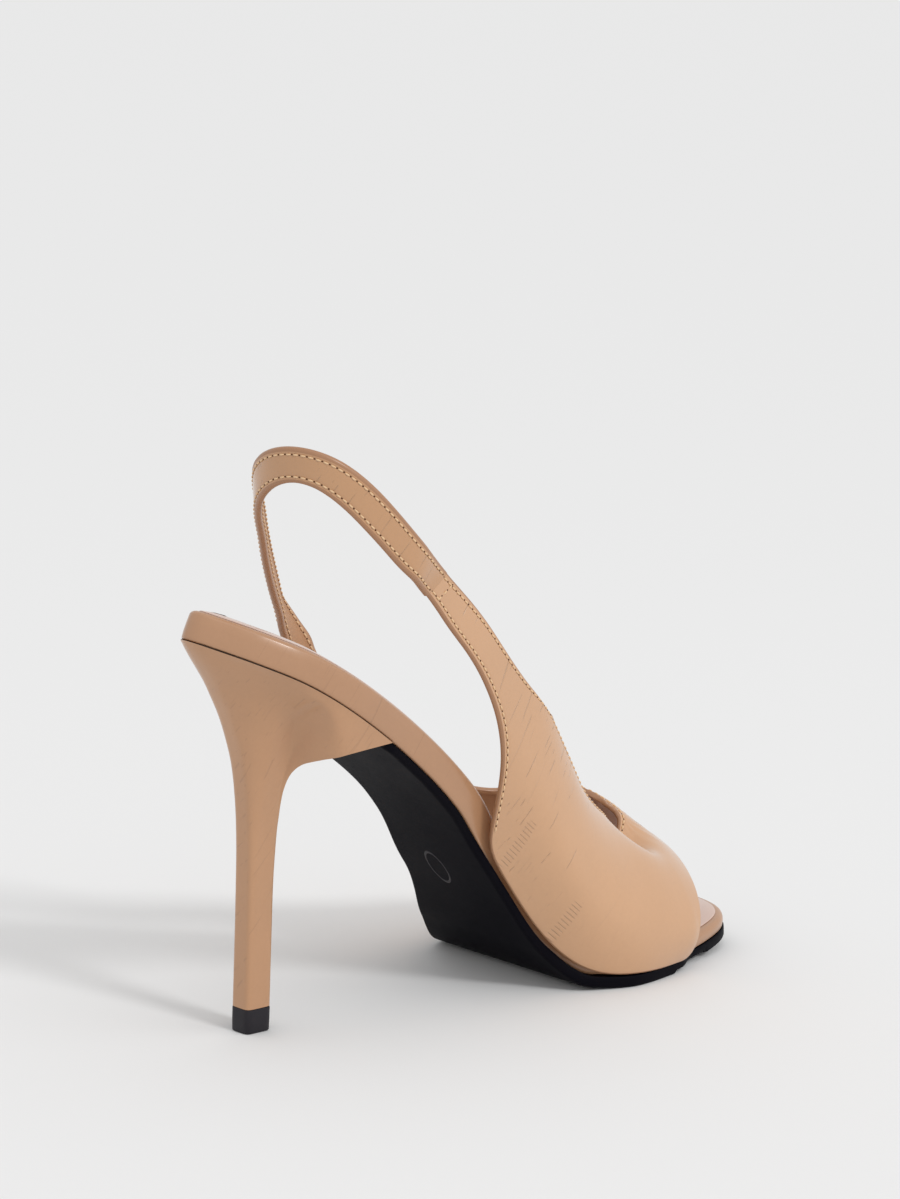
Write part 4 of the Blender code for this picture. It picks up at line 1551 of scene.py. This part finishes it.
@dataclass(frozen=True)
class Studio:
    """The pale floor, the soft light and the camera of the picture."""

    form: Form
    floor_size: float = 14.0
    floor_shade: float = 0.80
    sky: float = 0.82
    sun: float = 0.95
    sun_height: float = 40.0
    sun_softness: float = 12.0
    panel_aim: tuple[float, float, float] = (0.0, 0.0, 0.08)
    lens: float = 200.67
    eye: tuple[float, float, float] = (-829.88, -960.50, 391.92)
    ahead: tuple[float, float, float] = (0.70457, -0.67867, -0.20734)
    right: tuple[float, float, float] = (-0.68805, -0.72484, 0.03447)
    above: tuple[float, float, float] = (0.17368, -0.11837, 0.97766)

    def floor(self) -> None:
        """Makes the floor."""
        size = self.floor_size
        mesh = bpy.data.meshes.new("floor")
        corners = [(-size, -size, 0), (size, -size, 0), (size, size, 0), (-size, size, 0)]
        mesh.from_pydata(corners, [], [(0, 1, 2, 3)])
        material = bpy.data.materials.new("pale floor")
        material.use_nodes = True
        shader = material.node_tree.nodes["Principled BSDF"]
        shader.inputs["Base Color"].default_value = (*(self.floor_shade,) * 3, 1.0)
        shader.inputs["Roughness"].default_value = 1.0
        shader.inputs["Specular IOR Level"].default_value = 0.0
        mesh.materials.append(material)
        placed("floor", mesh)

    def light(self) -> None:
        """Makes the even sky, the soft key light and two wide panels for the gloss."""
        world = bpy.data.worlds.new("studio")
        world.use_nodes = True
        back = world.node_tree.nodes["Background"]
        back.inputs["Color"].default_value = (1.0, 1.0, 1.0, 1.0)
        back.inputs["Strength"].default_value = self.sky
        bpy.context.scene.world = world
        lamp = bpy.data.lights.new("key", "SUN")
        lamp.energy = self.sun
        lamp.angle = math.radians(self.sun_softness)
        tilt = math.radians(self.sun_height)
        travel = Vector((math.cos(tilt), 0.05, -math.sin(tilt)))
        placed("key", lamp).rotation_euler = travel.to_track_quat("-Z", "Y").to_euler()
        for name, place, size, watts in PANELS:
            lamp = bpy.data.lights.new(name, "AREA")
            lamp.shape = "SQUARE"
            lamp.size = size
            lamp.energy = watts
            panel = placed(name, lamp)
            panel.location = place
            aim = Vector(self.panel_aim) - Vector(place)
            panel.rotation_euler = aim.to_track_quat("-Z", "Y").to_euler()

    def camera(self) -> None:
        """Sets the camera where the picture was taken from."""
        lens = bpy.data.cameras.new("camera")
        lens.lens = self.lens
        lens.sensor_fit = "HORIZONTAL"
        lens.sensor_width = 36.0
        lens.clip_start = 0.05
        lens.clip_end = 60.0
        eye = placed("camera", lens)
        columns = (self.right, self.above, tuple(-value for value in self.ahead))
        turn = Matrix(columns).transposed().to_4x4()
        eye.matrix_world = Matrix.Translation(self.form.world(np.array(self.eye)).tolist()) @ turn
        bpy.context.scene.camera = eye
        bpy.context.scene.view_settings.view_transform = "Standard"


def write_sizes() -> None:
    low = np.full(3, np.inf)
    high = np.full(3, -np.inf)
    bpy.context.view_layer.update()
    for obj in bpy.context.scene.objects:
        if obj.type != "MESH" or obj.name == "floor" or obj.hide_render:
            continue
        corners = np.array([obj.matrix_world @ Vector(corner) for corner in obj.bound_box])
        low = np.minimum(low, corners.min(axis=0))
        high = np.maximum(high, corners.max(axis=0))


def main() -> None:
    """Builds the sandal piece by piece, then the studio round it."""
    logging.basicConfig(level=logging.INFO, format="%(message)s")
    form = Form()
    looks = made_looks()
    stitching = Stitching()
    upper = Upper(form)
    upper.build(looks)
    upper.stitch(looks, stitching)
    sling = Sling(form, upper)
    sling.build(looks)
    sling.stitch(looks, stitching)
    bed = Bed(form)
    bed.build_footbed(looks)
    bed.build_insole(looks)
    Outsole(form).build(looks)
    Stamp(form).build(looks)
    heel = Heel(form)
    heel.build(looks)
    heel.build_lift(looks)
    heel.build_joint(looks)
    studio = Studio(form)
    studio.floor()
    studio.light()
    studio.camera()
    write_sizes()


if __name__ == "__main__":
    main()
